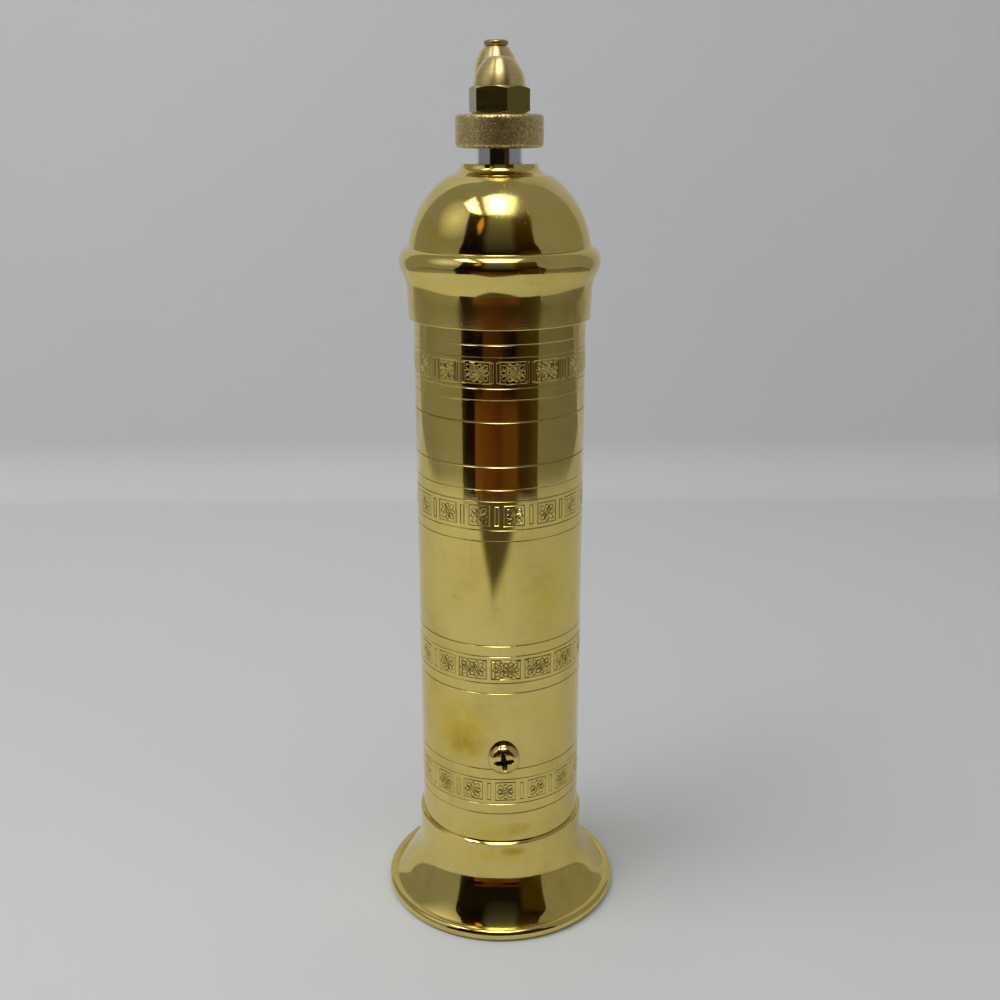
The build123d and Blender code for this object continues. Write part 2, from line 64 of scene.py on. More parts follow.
def scene_object(name, data):
    made = bpy.data.objects.new(name, data)
    scene.collection.objects.link(made)
    return made


def mesh_piece(name, points, faces, normals=None, groove=None):
    """A mesh object from points in mm. normals has one row for each face corner, in the faces' order."""
    mesh = bpy.data.meshes.new(name)
    mesh.from_pydata((np.asarray(points) * MM).tolist(), [], faces)
    mesh.polygons.foreach_set("use_smooth", [True] * len(mesh.polygons))
    if groove is not None:
        depth = mesh.attributes.new("groove", "FLOAT", "POINT")
        depth.data.foreach_set("value", np.asarray(groove, np.float32))
    mesh.update()
    if normals is not None:
        mesh.normals_split_custom_set(np.asarray(normals).tolist())
    return scene_object(name, mesh)


def joined(points, digits=4):
    """The distinct points, the first place of each, and every point's number among them."""
    keys, where, back = np.unique(
        np.round(points, digits), axis=0, return_index=True, return_inverse=True)
    return keys, where, back.reshape(-1).tolist()


def grid_faces(rows, columns, first=0, closed=False):
    """Faces between rows with this many points each. Closed rows end where they start."""
    faces = []
    for low in range(first, first + (rows - 1) * columns, columns):
        for k in range(columns if closed else columns - 1):
            j = (k + 1) % columns
            faces.append([low + k, low + j, low + columns + j, low + columns + k])
    return faces


def weld(name, points, faces, groove):
    """A piece with the points that fall together joined, and sharp edges where its faces meet steeply."""
    keys, where, back = joined(points)
    kept = []
    for face in faces:
        welded = list(dict.fromkeys(back[i] for i in face))
        if len(welded) > 2:
            kept.append(welded)
    piece = mesh_piece(name, keys, kept, None, groove[where])
    piece.data.set_sharp_from_angle(angle=SHARP_ANGLE)
    return piece


def smooth_line(points, start=None, end=None, steps=12):
    """Dense points on the smooth curve through these points, with optional directions at its ends."""
    p = np.asarray(points, float)
    h = np.linalg.norm(np.diff(p, axis=0), axis=1)
    n = len(p)
    slope = np.diff(p, axis=0) / h[:, None]
    a = np.zeros((n, n))
    b = np.zeros((n, 2))
    for i in range(1, n - 1):
        a[i, i - 1 : i + 2] = 1 / h[i - 1], 2 / h[i - 1] + 2 / h[i], 1 / h[i]
        b[i] = 3 * (slope[i - 1] / h[i - 1] + slope[i] / h[i])
    a[0, 0] = a[-1, -1] = 1
    b[0] = slope[0] + (slope[0] - slope[1]) * h[0] / (h[0] + h[1])
    b[-1] = slope[-1] + (slope[-1] - slope[-2]) * h[-1] / (h[-1] + h[-2])
    if start is not None:
        b[0] = np.asarray(start, float) / np.linalg.norm(start)
    if end is not None:
        b[-1] = np.asarray(end, float) / np.linalg.norm(end)
    m = np.linalg.solve(a, b)
    out = [p[0]]
    for i in range(n - 1):
        for t in np.linspace(0, 1, steps + 1)[1:]:
            out.append(
                (2 * t**3 - 3 * t**2 + 1) * p[i]
                + (t**3 - 2 * t**2 + t) * h[i] * m[i]
                + (3 * t**2 - 2 * t**3) * p[i + 1]
                + (t**3 - t**2) * h[i] * m[i + 1]
            )
    return np.array(out)


def arc(centre, radius, start_deg, end_deg, steps):
    turn = np.radians(np.linspace(start_deg, end_deg, steps + 1))
    return np.column_stack([centre[0] + radius * np.cos(turn), centre[1] + radius * np.sin(turn)])


def straight(*corners):
    """Runs along straight lines from corner to corner."""
    return [np.array(pair) for pair in zip(corners, corners[1:])]


def lathe(name, runs, segments=240):
    """A turned piece. runs are smooth stretches of its (radius, height) outline, counter-clockwise round the
    section, with a sharp edge between two runs."""
    points, directions, faces = [], [], []
    turn = np.linspace(0, 2 * math.pi, segments, endpoint=False)
    ring_x, ring_y = np.sin(turn), -np.cos(turn)
    for run in runs:
        step = np.diff(run, axis=0)
        step /= np.linalg.norm(step, axis=1)[:, None]
        tangent = np.vstack([step[:1], step[:-1] + step[1:], step[-1:]])
        tangent /= np.linalg.norm(tangent, axis=1)[:, None]
        faces.extend(grid_faces(len(run), segments, len(points), closed=True))
        for (radius, height), (out, up) in zip(run, tangent):
            points.extend(np.column_stack([radius * ring_x, radius * ring_y, np.full(segments, height)]))
            directions.extend(np.column_stack([ring_x * up, ring_y * up, np.full(segments, -out)]))
    keys, _, back = joined(np.array(points), 5)
    normals = [directions[i] for face in faces for i in face]
    return mesh_piece(name, keys, [[back[i] for i in face] for face in faces], normals)


# ---------- camera
CAMERA_DISTANCE = 298.9
CAMERA_HEIGHT = 206.4
CAMERA_TURN = math.radians(-0.9)
CAMERA_DIP = math.radians(17.42)
CAMERA_ROLL = math.radians(-0.084)
camera = scene_object("camera", bpy.data.cameras.new("camera"))
scene.camera = camera
camera.data.lens = 43.14
camera.data.sensor_width = 36
camera.data.clip_start = 0.01
camera.data.clip_end = 20
camera.location = (
    math.sin(CAMERA_TURN) * CAMERA_DISTANCE * MM,
    -math.cos(CAMERA_TURN) * CAMERA_DISTANCE * MM,
    CAMERA_HEIGHT * MM,
)
camera.rotation_mode = "QUATERNION"
camera.rotation_quaternion = (
    Matrix.Rotation(CAMERA_TURN, 3, "Z")
    @ Matrix.Rotation(math.pi / 2 - CAMERA_DIP, 3, "X")
    @ Matrix.Rotation(CAMERA_ROLL, 3, "Z")
).to_quaternion()
scene.view_settings.view_transform = "Standard"


# ---------- node helpers
def blank_material(name):
    material = bpy.data.materials.new(name)
    material.use_nodes = True
    material.node_tree.nodes.clear()
    return material, material.node_tree


def shaded(material, sockets, kind="ShaderNodeBsdfPrincipled"):
    """Gives a material its shader, with these inputs."""
    shader = node(material.node_tree, kind, sockets)
    node(material.node_tree, "ShaderNodeOutputMaterial", {0: shader.outputs[0]})
    return material


def node(tree, kind, inputs=(), **settings):
    """Adds a node. inputs maps socket names or numbers to values or to other nodes' outputs."""
    made = tree.nodes.new(kind)
    for key, value in settings.items():
        setattr(made, key, value)
    for key, value in dict(inputs).items():
        if isinstance(value, bpy.types.NodeSocket):
            tree.links.new(value, made.inputs[key])
        else:
            made.inputs[key].default_value = value
    return made


def maths(tree, operation, a, b=0.0, clamp=False):
    return node(tree, "ShaderNodeMath", {0: a, 1: b}, operation=operation, use_clamp=clamp).outputs[0]


def times(tree, a, b, clamp=False):
    return maths(tree, "MULTIPLY", a, b, clamp)


def plus(tree, a, b):
    return maths(tree, "ADD", a, b)


def place(tree):
    return node(tree, "ShaderNodeTexCoord").outputs["Object"]


def noise(tree, scale, detail=2.0, stretch=(1, 1, 1), turn=(0, 0, 0), roughness=0.5, offset=(0, 0, 0)):
    """Noise over the piece, with features about 1/scale metres across, stretched by mapping."""
    mapping = node(tree, "ShaderNodeMapping", {"Vector": place(tree), "Scale": stretch, "Rotation": turn,
                                               "Location": offset})
    made = node(tree, "ShaderNodeTexNoise", {"Vector": mapping.outputs[0], "Scale": scale, "Detail": detail,
                                             "Roughness": roughness})
    return made.outputs["Fac"]


def ramp(tree, value, low, high, out_low=0.0, out_high=1.0):
    made = node(tree, "ShaderNodeMapRange", {"Value": value, "From Min": low, "From Max": high,
                                             "To Min": out_low, "To Max": out_high})
    return made.outputs[0]


def mix(tree, share, a, b):
    """Colour from a to b. share is a socket."""
    made = node(tree, "ShaderNodeMix", {0: share, 6: a, 7: b}, data_type="RGBA")
    return made.outputs[2]


def bump(tree, height, distance, strength, before=None):
    inputs = {"Height": height, "Distance": distance, "Strength": strength}
    if before is not None:
        inputs["Normal"] = before
    return node(tree, "ShaderNodeBump", inputs).outputs[0]


def length(tree, vector):
    return node(tree, "ShaderNodeVectorMath", {0: vector}, operation="LENGTH").outputs["Value"]


def distance(tree, x, y):
    return length(tree, node(tree, "ShaderNodeCombineXYZ", {0: x, 1: y}).outputs[0])


def spot(tree, centre, across, up):
    """1 at a point of the piece, in mm, fading to 0 at these distances across and up."""
    middle = [c * MM for c in centre]
    size = Vector((1 / across, 1 / across, 1 / up)) / MM
    shifted = node(tree, "ShaderNodeVectorMath", {0: place(tree), 1: middle}, operation="SUBTRACT")
    scaled = node(tree, "ShaderNodeVectorMath", {0: shifted.outputs[0], 1: size}, operation="MULTIPLY")
    return ramp(tree, length(tree, scaled.outputs[0]), 1.0, 0.0)


def axes(tree):
    """X, Y and Z over the piece, in metres."""
    return node(tree, "ShaderNodeSeparateXYZ", {0: place(tree)}).outputs


def colour_bands(tree, value, stops):
    """Colour along value, between 0 and 1, through stops of (value, colour)."""
    made = node(tree, "ShaderNodeValToRGB", {0: value})
    while len(made.color_ramp.elements) < len(stops):
        made.color_ramp.elements.new(1.0)
    for element, (at, colour) in zip(made.color_ramp.elements, stops):
        element.position = at
        element.color = (*colour, 1)
    return made.outputs[0]


# ---------- materials
BRASS = (0.76, 0.615, 0.20, 1)
DEEP_BRASS = (0.70, 0.52, 0.085, 1)
BROWN_BRASS = (0.50, 0.34, 0.03, 1)
OLIVE_BRASS = (0.42, 0.33, 0.07, 1)
TARNISH = (0.16, 0.10, 0.025, 1)
# Near black painted shade for the screw's deep cross recess, which light hardly reaches.
PAINTED_RECESS_SHADE = (0.006, 0.004, 0.002, 1)
DRAWN_LIGHT, DRAWN_DARK = (0.30, 0.24, 0.07, 1), (0.20, 0.15, 0.035, 1)
CLOUD_SHARE, OLIVE_SHARE = 0.55, 0.5  # of the deep and the olive colour, where they show most
# What haze, scratches, grooves and the satin finish add to the roughness.
HAZE_DULLS, SCRATCH_DULLS, GROOVE_DULLS, SATIN_DULLS = 0.05, 0.16, 0.3, 0.09
# Relief of the slight waves, the turning lines, the scratches and the satin grain, in metres.
WAVE_RELIEF, LINE_RELIEF, SCRATCH_RELIEF, GRAIN_RELIEF = 0.00006, 0.000002, -0.000004, 0.00003
FLATS_FADE = 0.3  # mm over which drawn flats change into turned metal
QUARTER_TURN = 0.25


def scratches(tree, turn, scale, threshold, offset):
    """Thin random lines along one direction, 0 or near 1."""
    line = noise(tree, scale, 1.0, (1, 1, 0.02), turn, offset=offset)
    patch = noise(tree, 60, 1.0, offset=offset)
    line = ramp(tree, line, threshold, threshold + 0.03)
    return times(tree, line, ramp(tree, patch, 0.45, 0.6))


def polished_brass(name, roughness, stains=(), groove_tarnish_and_shade=TARNISH, groove_share=0.72, satin=None, worn=()):
    """Mirror-polished brass with faint turning lines, hair scratches, dulled patches and grooves darkened by
    tarnish; given a near black groove colour, as for the screw's cross recess, the grooves get painted shade
    instead.
    satin is the range of heights over which it turns to a grainy, dull finish, downwards. Each worn patch is
    (centre, reach across, reach up, added roughness)."""
    material, tree = blank_material(name)
    lines = noise(tree, 3500, 3.0, (0.03, 0.03, 1), roughness=0.7)
    clouds = noise(tree, 35, 4.0, roughness=0.6)
    haze = noise(tree, 160, 3.0, (1, 1, 0.6), offset=(3, 1, 2))
    scratch = maths(tree, "MAXIMUM",
                    scratches(tree, (1.3, 0.2, 0), 1400, 0.68, (1, 2, 3)),
                    scratches(tree, (0.3, 1.35, 0.4), 1800, 0.7, (5, 1, 2)))
    colour = mix(tree, ramp(tree, clouds, 0.38, 0.72, 0.0, CLOUD_SHARE), BRASS, DEEP_BRASS)
    streaks = noise(tree, 700, 4.0, (0.06, 0.06, 1), roughness=0.7, offset=(4, 4, 8))
    streaks = ramp(tree, streaks, 0.3, 0.65, 0.35, 1.0)
    blotches = noise(tree, 95, 5.0, (1, 1, 0.7), roughness=0.65, offset=(6, 1, 5))
    olive = times(tree, ramp(tree, blotches, 0.45, 0.72), streaks)
    colour = mix(tree, times(tree, olive, OLIVE_SHARE), colour, OLIVE_BRASS)
    for centre, across, up, strength, tint in stains:
        edge = ramp(tree, noise(tree, 260, 4.0, offset=(centre[0], 0, 1)), 0.35, 0.65, 0.3, 1.0)
        share = times(tree, spot(tree, centre, across, up), edge)
        colour = mix(tree, times(tree, share, strength, clamp=True), colour, tint)
    groove = node(tree, "ShaderNodeAttribute", attribute_name="groove").outputs["Fac"]
    # Grooves take the tarnish colour; for the screw this paints near black shade into the cross recess.
    colour = mix(tree, ramp(tree, groove, 0.15, 0.9, 0.0, groove_share), colour, groove_tarnish_and_shade)
    dull = ramp(tree, haze, 0.35, 0.75, roughness, roughness + HAZE_DULLS)
    dull = plus(tree, dull, times(tree, scratch, SCRATCH_DULLS))
    dull = plus(tree, dull, ramp(tree, groove, 0.1, 0.8, 0.0, GROOVE_DULLS))
    for centre, across, up, added in worn:
        rub = ramp(tree, noise(tree, 900, 3.0, offset=(0, 3, 0)), 0.3, 0.7, 0.5, 1.2)
        rub = times(tree, rub, added)
        dull = plus(tree, dull, times(tree, spot(tree, centre, across, up), rub))
    waves = noise(tree, 55, 1.0, (1, 1, 0.5), offset=(7, 7, 7))
    normal = bump(tree, waves, WAVE_RELIEF, 0.6)
    normal = bump(tree, lines, LINE_RELIEF, 0.8, normal)
    normal = bump(tree, scratch, SCRATCH_RELIEF, 0.6, normal)
    if satin is not None:
        share = ramp(tree, axes(tree)[2], satin[1] * MM, satin[0] * MM)
        dull = plus(tree, dull, times(tree, share, SATIN_DULLS))
        grain = times(tree, noise(tree, 2600, 2.0, offset=(2, 9, 4)), share)
        normal = bump(tree, grain, GRAIN_RELIEF, 0.8, normal)
    return shaded(material, {"Metallic": 1.0, "Base Color": colour, "Roughness": dull, "Normal": normal})


def turned_metal(name, light, dark, roughness, depth=0.000004, flats_below=None, stretch=0.0):
    """Satin metal straight off the lathe, with fine rings. Below flats_below, in mm, it is drawn bar
    instead: darker and without rings. stretch draws the highlights out across the rings."""
    material, tree = blank_material(name)
    rings = noise(tree, 4200, 3.0, (0.02, 0.02, 1), roughness=0.75)
    clouds = noise(tree, 220, 4.0, offset=(2, 5, 1))
    share = times(tree, ramp(tree, rings, 0.3, 0.7), ramp(tree, clouds, 0.3, 0.7, 0.4, 1.0))
    sockets = {"Metallic": 1.0}
    if stretch:
        tangent = node(tree, "ShaderNodeTangent", direction_type="RADIAL", axis="Z").outputs[0]
        sockets.update({"Anisotropic": stretch, "Anisotropic Rotation": QUARTER_TURN, "Tangent": tangent})
    colour = mix(tree, share, light, dark)
    dull = ramp(tree, rings, 0.25, 0.75, roughness * 0.8, roughness * 1.3)
    relief = rings
    if flats_below is not None:
        facing = node(tree, "ShaderNodeSeparateXYZ", {0: node(tree, "ShaderNodeTexCoord").outputs["Normal"]})
        bevel = ramp(tree, maths(tree, "ABSOLUTE", facing.outputs[2]), 0.2, 0.4)
        top = ramp(tree, axes(tree)[2], (flats_below - FLATS_FADE) * MM, flats_below * MM)
        turned = maths(tree, "MAXIMUM", bevel, top)
        draw_lines = noise(tree, 5200, 2.0, (1, 1, 0.03), offset=(8, 3, 5))
        relief = times(tree, rings, turned)
        flat_colour = mix(tree, draw_lines, DRAWN_LIGHT, DRAWN_DARK)
        colour = mix(tree, turned, flat_colour, colour)
        dull = times(tree, dull, ramp(tree, turned, 0.0, 1.0, 0.7, 1.0))
    sockets.update({"Base Color": colour, "Roughness": dull, "Normal": bump(tree, relief, depth, 0.9)})
    return shaded(material, sockets)


def cast_metal(name, light, dark, roughness, grain=2600, depth=0.00003):
    """Cast and tumbled metal: grainy skin with pits and a soft sheen."""
    material, tree = blank_material(name)
    skin = noise(tree, grain, 4.0, roughness=0.65)
    pits = noise(tree, grain * 0.35, 3.0, offset=(4, 2, 9))
    clouds = noise(tree, 150, 3.0, offset=(1, 8, 3))
    share = times(tree, ramp(tree, skin, 0.35, 0.68), ramp(tree, clouds, 0.3, 0.7, 0.45, 1.0))
    dull = ramp(tree, skin, 0.3, 0.7, roughness * 0.75, roughness * 1.25)
    normal = bump(tree, skin, depth, 0.8, bump(tree, pits, depth * 1.5, 0.6))
    return shaded(material, {"Metallic": 1.0, "Base Color": mix(tree, share, light, dark),
                             "Roughness": dull, "Normal": normal})


TUBE_STAINS = (  # (centre, reach across, reach up, strength, tint)
    ((-11.5, -18.2, 56.0), 11.0, 10.5, 2.0, DEEP_BRASS),
    ((-9.8, -19.1, 52.5), 7.0, 6.5, 1.3, BROWN_BRASS),
    ((-18.0, -11.0, 66.0), 8.0, 7.0, 1.4, DEEP_BRASS),
    ((11.0, -18.5, 90.0), 7.0, 12.0, 0.9, DEEP_BRASS),
    ((-19.0, -9.0, 98.0), 7.0, 14.0, 0.9, DEEP_BRASS),
    ((-3.0, -21.3, 103.0), 6.0, 12.0, 0.8, DEEP_BRASS),
    ((3.6, -21.2, 27.4), 5.2, 2.4, 1.9, BROWN_BRASS),
    ((-3.0, -21.3, 25.5), 9.0, 4.0, 1.3, DEEP_BRASS),
    ((-12.0, 17.0, 60.0), 13.0, 13.0, 1.5, DEEP_BRASS),
)
FOOT_STAINS = (
    ((3.0, -22.2, 21.3), 4.4, 1.8, 1.7, BROWN_BRASS),
    ((-2.0, -22.3, 20.0), 11.0, 3.0, 1.2, DEEP_BRASS),
    ((14.0, 20.0, 9.0), 9.0, 9.0, 1.4, DEEP_BRASS),
)
CAP_STAINS = (
    ((-16.0, -14.5, 181.0), 10.0, 8.0, 0.9, DEEP_BRASS),
    ((17.0, -13.0, 184.0), 9.0, 6.0, 0.8, DEEP_BRASS),
    ((3.0, 22.0, 180.0), 11.0, 8.0, 1.1, DEEP_BRASS),
)
CAP_WEAR = (((3.0, -19.0, 188.5), 9.0, 6.0, 0.16), ((-16.0, -12.0, 186.0), 9.0, 8.0, 0.08))
SATIN_HEIGHTS = (166.0, 168.5)
TURNED = {"light": (0.90, 0.73, 0.34, 1), "dark": (0.66, 0.49, 0.17, 1), "roughness": 0.31,
          "depth": 0.00002, "stretch": 0.93}
NUT_FLATS_TOP = 215.2
materials = {
    "tube": polished_brass("polished_brass_tube", 0.045, TUBE_STAINS),
    "foot": polished_brass("polished_brass_foot", 0.05, FOOT_STAINS),
    "cap": polished_brass("polished_brass_cap", 0.06, CAP_STAINS, satin=SATIN_HEIGHTS, worn=CAP_WEAR),
    # The screw's cross recess is painted near black: painted shade.
    "screw": polished_brass("polished_brass_screw", 0.1, groove_tarnish_and_shade=PAINTED_RECESS_SHADE, groove_share=0.98),
    "cast": cast_metal("cast_brass", (0.84, 0.68, 0.30, 1), (0.30, 0.22, 0.055, 1), 0.27, 1500, 0.00028),
    "turned": turned_metal("turned_brass", **TURNED),
    "nut": turned_metal("turned_brass_nut", **TURNED, flats_below=NUT_FLATS_TOP),
    "rivet": turned_metal("turned_brass_rivet", (0.50, 0.39, 0.16, 1), (0.30, 0.21, 0.07, 1), 0.24),
    "machined": turned_metal("machined_brass", (0.80, 0.63, 0.26, 1), (0.60, 0.45, 0.16, 1), 0.22),
    "steel": turned_metal("polished_steel", (0.60, 0.61, 0.63, 1), (0.50, 0.51, 0.53, 1), 0.10, 0.000001),
    "machined_steel": turned_metal("machined_steel", (0.55, 0.55, 0.56, 1), (0.38, 0.38, 0.39, 1), 0.28),
    "burr": turned_metal("burr_steel", (0.36, 0.36, 0.37, 1), (0.20, 0.20, 0.21, 1), 0.35),
    "spring": turned_metal("spring_steel", (0.42, 0.42, 0.43, 1), (0.28, 0.28, 0.29, 1), 0.3),
    "zinc": cast_metal("cast_zinc", (0.56, 0.56, 0.57, 1), (0.36, 0.36, 0.37, 1), 0.42),
    "plated": turned_metal("zinc_plated", (0.66, 0.67, 0.68, 1), (0.5, 0.51, 0.53, 1), 0.25),
}

NODE_MATERIALS = {
    "zinc": ("burr_housing", "bridge"),
    "burr": ("outer_burr", "inner_burr"),
    "plated": ("bridge_screws",),
    "machined_steel": ("thrust_washer", "adjust_screw", "burr_spindle", "drive_shaft", "sleeve_pin"),
    "machined": ("adjust_knob", "neck_bush", "knob_washer"),
    "steel": ("shaft_sleeve",),
    "spring": ("shaft_circlip",),
    "nut": ("acorn_nut",),
    "rivet": ("knob_pin",),
    "turned": ("crank_knob",),
}
for key, names in NODE_MATERIALS.items():
    for name in names:
        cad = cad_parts[name]
        cad.data.materials.clear()
        cad.data.materials.append(materials[key])


# ---------- body: engraved tube
TUBE_RADIUS = 21.5
TUBE_BORE = 20.5
TUBE_BOTTOM = 13.0
TUBE_TOP = 175.5
BAND_HEIGHTS = (39.0, 74.0, 115.2, 150.5)
RING_OFFSETS = (-6.6, -3.7, 3.7, 6.6)
PANEL_LINES = (127.6, 138.6)
BAND_RING = (0.17, 0.11)  # half width and depth
PANEL_RING = (0.24, 0.15)
COLUMNS = 180
COLUMN_LINES = np.linspace(-math.pi * TUBE_RADIUS, math.pi * TUBE_RADIUS, COLUMNS + 1)
BAND_HALF = 3.3
STROKE_HALF = 0.15
STROKE_DEPTH = 0.13
STROKE_MARGIN = 0.12  # bare strip kept beside a stroke
SQUARE_HALF = 2.6  # of the frame round a flower
BAR_HALVES = (0.45, 2.4)  # of the bar between two frames
EYE_RADIUS = 0.36
PETAL_REACHES = (2.15, 2.5)
BARE_BACK = 171  # degrees from the front, beyond which nothing is stamped
# How far each stamp is off by chance: radians, mm and shares of the pressure.
STAMP_TILT, STAMP_SHIFT, STAMP_PRESS = 0.012, 0.035, (0.8, 1.1)
PITCH = 23.3  # degrees from one flower to the next
# Each band's passes of the roller: (degrees of one flower, first and last angle, pressure).
BAND_PASSES = {
    39.0: ((2.7, -180, 180, 0.85),),
    74.0: ((6.1, -180, 180, 1.0), (-0.3, -27, 62, 0.75)),
    115.2: ((8.5, -180, 180, 0.95),),
    150.5: ((-13.4, -180, 180, 0.62), (-18.0, -30, 45, 0.5)),
}
BROKEN_RINGS = (76.0, 82.0)  # heights between which the rings have a gap where the tool was lifted
GAP_MIDDLE = math.radians(7.5)
GAP_HALF = math.radians(2.2)


def petal(turn, reach, half_width=0.5, start=0.55):
    """Outline of one petal with a rounded end, from near the flower's middle outwards."""
    share = np.linspace(0, 1, 9)
    side = half_width * np.sin(math.pi * share**1.7) ** 0.8
    along = start + (reach - start) * share
    outline = np.concatenate([np.column_stack([along, side]), np.column_stack([along, -side])[-2:0:-1]])
    c, s = math.cos(turn), math.sin(turn)
    return outline @ np.array([[c, s], [-s, c]])


def rectangle(half_across, half_up):
    return np.array([(-half_across, -half_up), (half_across, -half_up), (half_across, half_up),
                     (-half_across, half_up)])


def motif():
    """Closed outlines of one flower in its square, round its own middle."""
    shapes = [rectangle(SQUARE_HALF, SQUARE_HALF)]
    turn = np.linspace(0, 2 * math.pi, 10, endpoint=False)
    shapes.append(EYE_RADIUS * np.column_stack([np.cos(turn), np.sin(turn)]))
    for k in range(8):
        shapes.append(petal(k * math.pi / 4, PETAL_REACHES[k % 2]))
    return shapes


def band_outlines(height):
    """Every closed outline of one band, as (points in the unrolled plane, pressure)."""
    found = []
    for phase, low, high, pressure in BAND_PASSES[height]:
        for k in range(-8, 9):
            for shapes, centre in ((motif(), phase + k * PITCH),
                                   ([rectangle(*BAR_HALVES)], phase + (k + 0.5) * PITCH)):
                if abs(centre) > BARE_BACK or not low <= centre <= high:
                    continue
                tilt = rng.normal(0, STAMP_TILT)
                turn = np.array([[math.cos(tilt), math.sin(tilt)], [-math.sin(tilt), math.cos(tilt)]])
                middle = np.array([math.radians(centre) * TUBE_RADIUS, height])
                shift = middle + rng.normal(0, STAMP_SHIFT, 2)
                press = pressure * rng.uniform(*STAMP_PRESS)
                found.extend((s @ turn + shift, press) for s in shapes)
    return found


def offset_outline(outline, distance, mitre_limit=0.6):
    """A closed outline moved sideways, with mitred corners."""
    step = np.roll(outline, -1, axis=0) - outline
    step /= np.linalg.norm(step, axis=1)[:, None]
    side = np.column_stack([-step[:, 1], step[:, 0]])
    both = side + np.roll(side, 1, axis=0)
    both /= np.maximum(np.einsum("ij,ij->i", both, side), mitre_limit)[:, None]
    return outline + both * distance


def stroke_depth(points, starts, ends, pressures, block=400, margin=6):
    """Depth of the engraving at each point, and the distance from the nearest stroke's middle. The points
    are sorted by X, and go in blocks with the strokes that start within the margin."""
    depth = np.zeros(len(points))
    near = np.full(len(points), np.inf)
    order = np.argsort(starts[:, 0])
    starts, ends, pressures = starts[order], ends[order], pressures[order]
    for i in range(0, len(points), block):
        p = points[i : i + block]
        low, high = p[:, 0].min() - margin, p[:, 0].max() + margin
        use = (starts[:, 0] > low) & (starts[:, 0] < high)
        if not use.any():
            continue
        a, b, press = starts[use], ends[use], pressures[use]
        along = b - a
        share = np.einsum("pij,ij->pi", p[:, None] - a, along) / np.einsum("ij,ij->i", along, along)
        share = np.clip(share, 0, 1)
        away = np.linalg.norm(p[:, None] - a - share[..., None] * along, axis=2)
        value = press * np.clip(1 - away / STROKE_HALF, 0, 1)
        depth[i : i + block] = value.max(axis=1)
        near[i : i + block] = away.min(axis=1)
    return depth * STROKE_DEPTH, near


def band_surface(height, same_point=1e-5, least_area=1e-7):
    """One engraved band in the unrolled plane: points, depths and triangles."""
    columns = COLUMN_LINES
    rows = np.linspace(height - BAND_HALF, height + BAND_HALF, 9)
    outlines = band_outlines(height)
    starts = np.vstack([o for o, _ in outlines])
    ends = np.vstack([np.roll(o, -1, axis=0) for o, _ in outlines])
    pressures = np.concatenate([np.full(len(o), p) for o, p in outlines])
    points, edges = [], []

    def chain(line, closed=False):
        first = len(points)
        points.extend(line)
        edges.extend((first + i, first + i + 1) for i in range(len(line) - 1))
        if closed:
            edges.append((first + len(line) - 1, first))

    for end in (0, -1):
        chain([(u, rows[end]) for u in columns])
    for end in (0, -1):
        chain([(columns[end], z) for z in rows[1:-1]])
    for outline, _ in outlines:
        for line in (outline, offset_outline(outline, STROKE_HALF), offset_outline(outline, -STROKE_HALF)):
            chain(line, closed=True)
    fill = np.array([(u, z) for u in columns[1:-1] for z in rows[1:-1]])
    fill = fill[np.argsort(fill[:, 0])]
    _, near = stroke_depth(fill, starts, ends, pressures)
    points.extend(fill[near > STROKE_HALF + STROKE_MARGIN])
    made = delaunay_2d_cdt([Vector(p) for p in points], edges, [], 0, same_point)
    flat = np.array([tuple(v) for v in made[0]])
    order = np.argsort(flat[:, 0])
    depth = np.zeros(len(flat))
    depth[order], _ = stroke_depth(flat[order], starts, ends, pressures)
    faces = np.array([f for f in made[2] if len(f) == 3])
    a, b, c = (flat[faces[:, i]] for i in range(3))
    area = (b - a)[:, 0] * (c - a)[:, 1] - (b - a)[:, 1] * (c - a)[:, 0]
    faces[area < 0] = faces[area < 0][:, ::-1]
    return flat, depth, faces[np.abs(area) > least_area]


def ring_rows(height, half_width, depth):
    """Rows of one turned ring groove with a rounded bottom, as (height, depth)."""
    profile = ((-1, 0), (-0.55, 0.72), (0, 1), (0.55, 0.72), (1, 0))
    return [(height + a * half_width, b * depth) for a, b in profile]


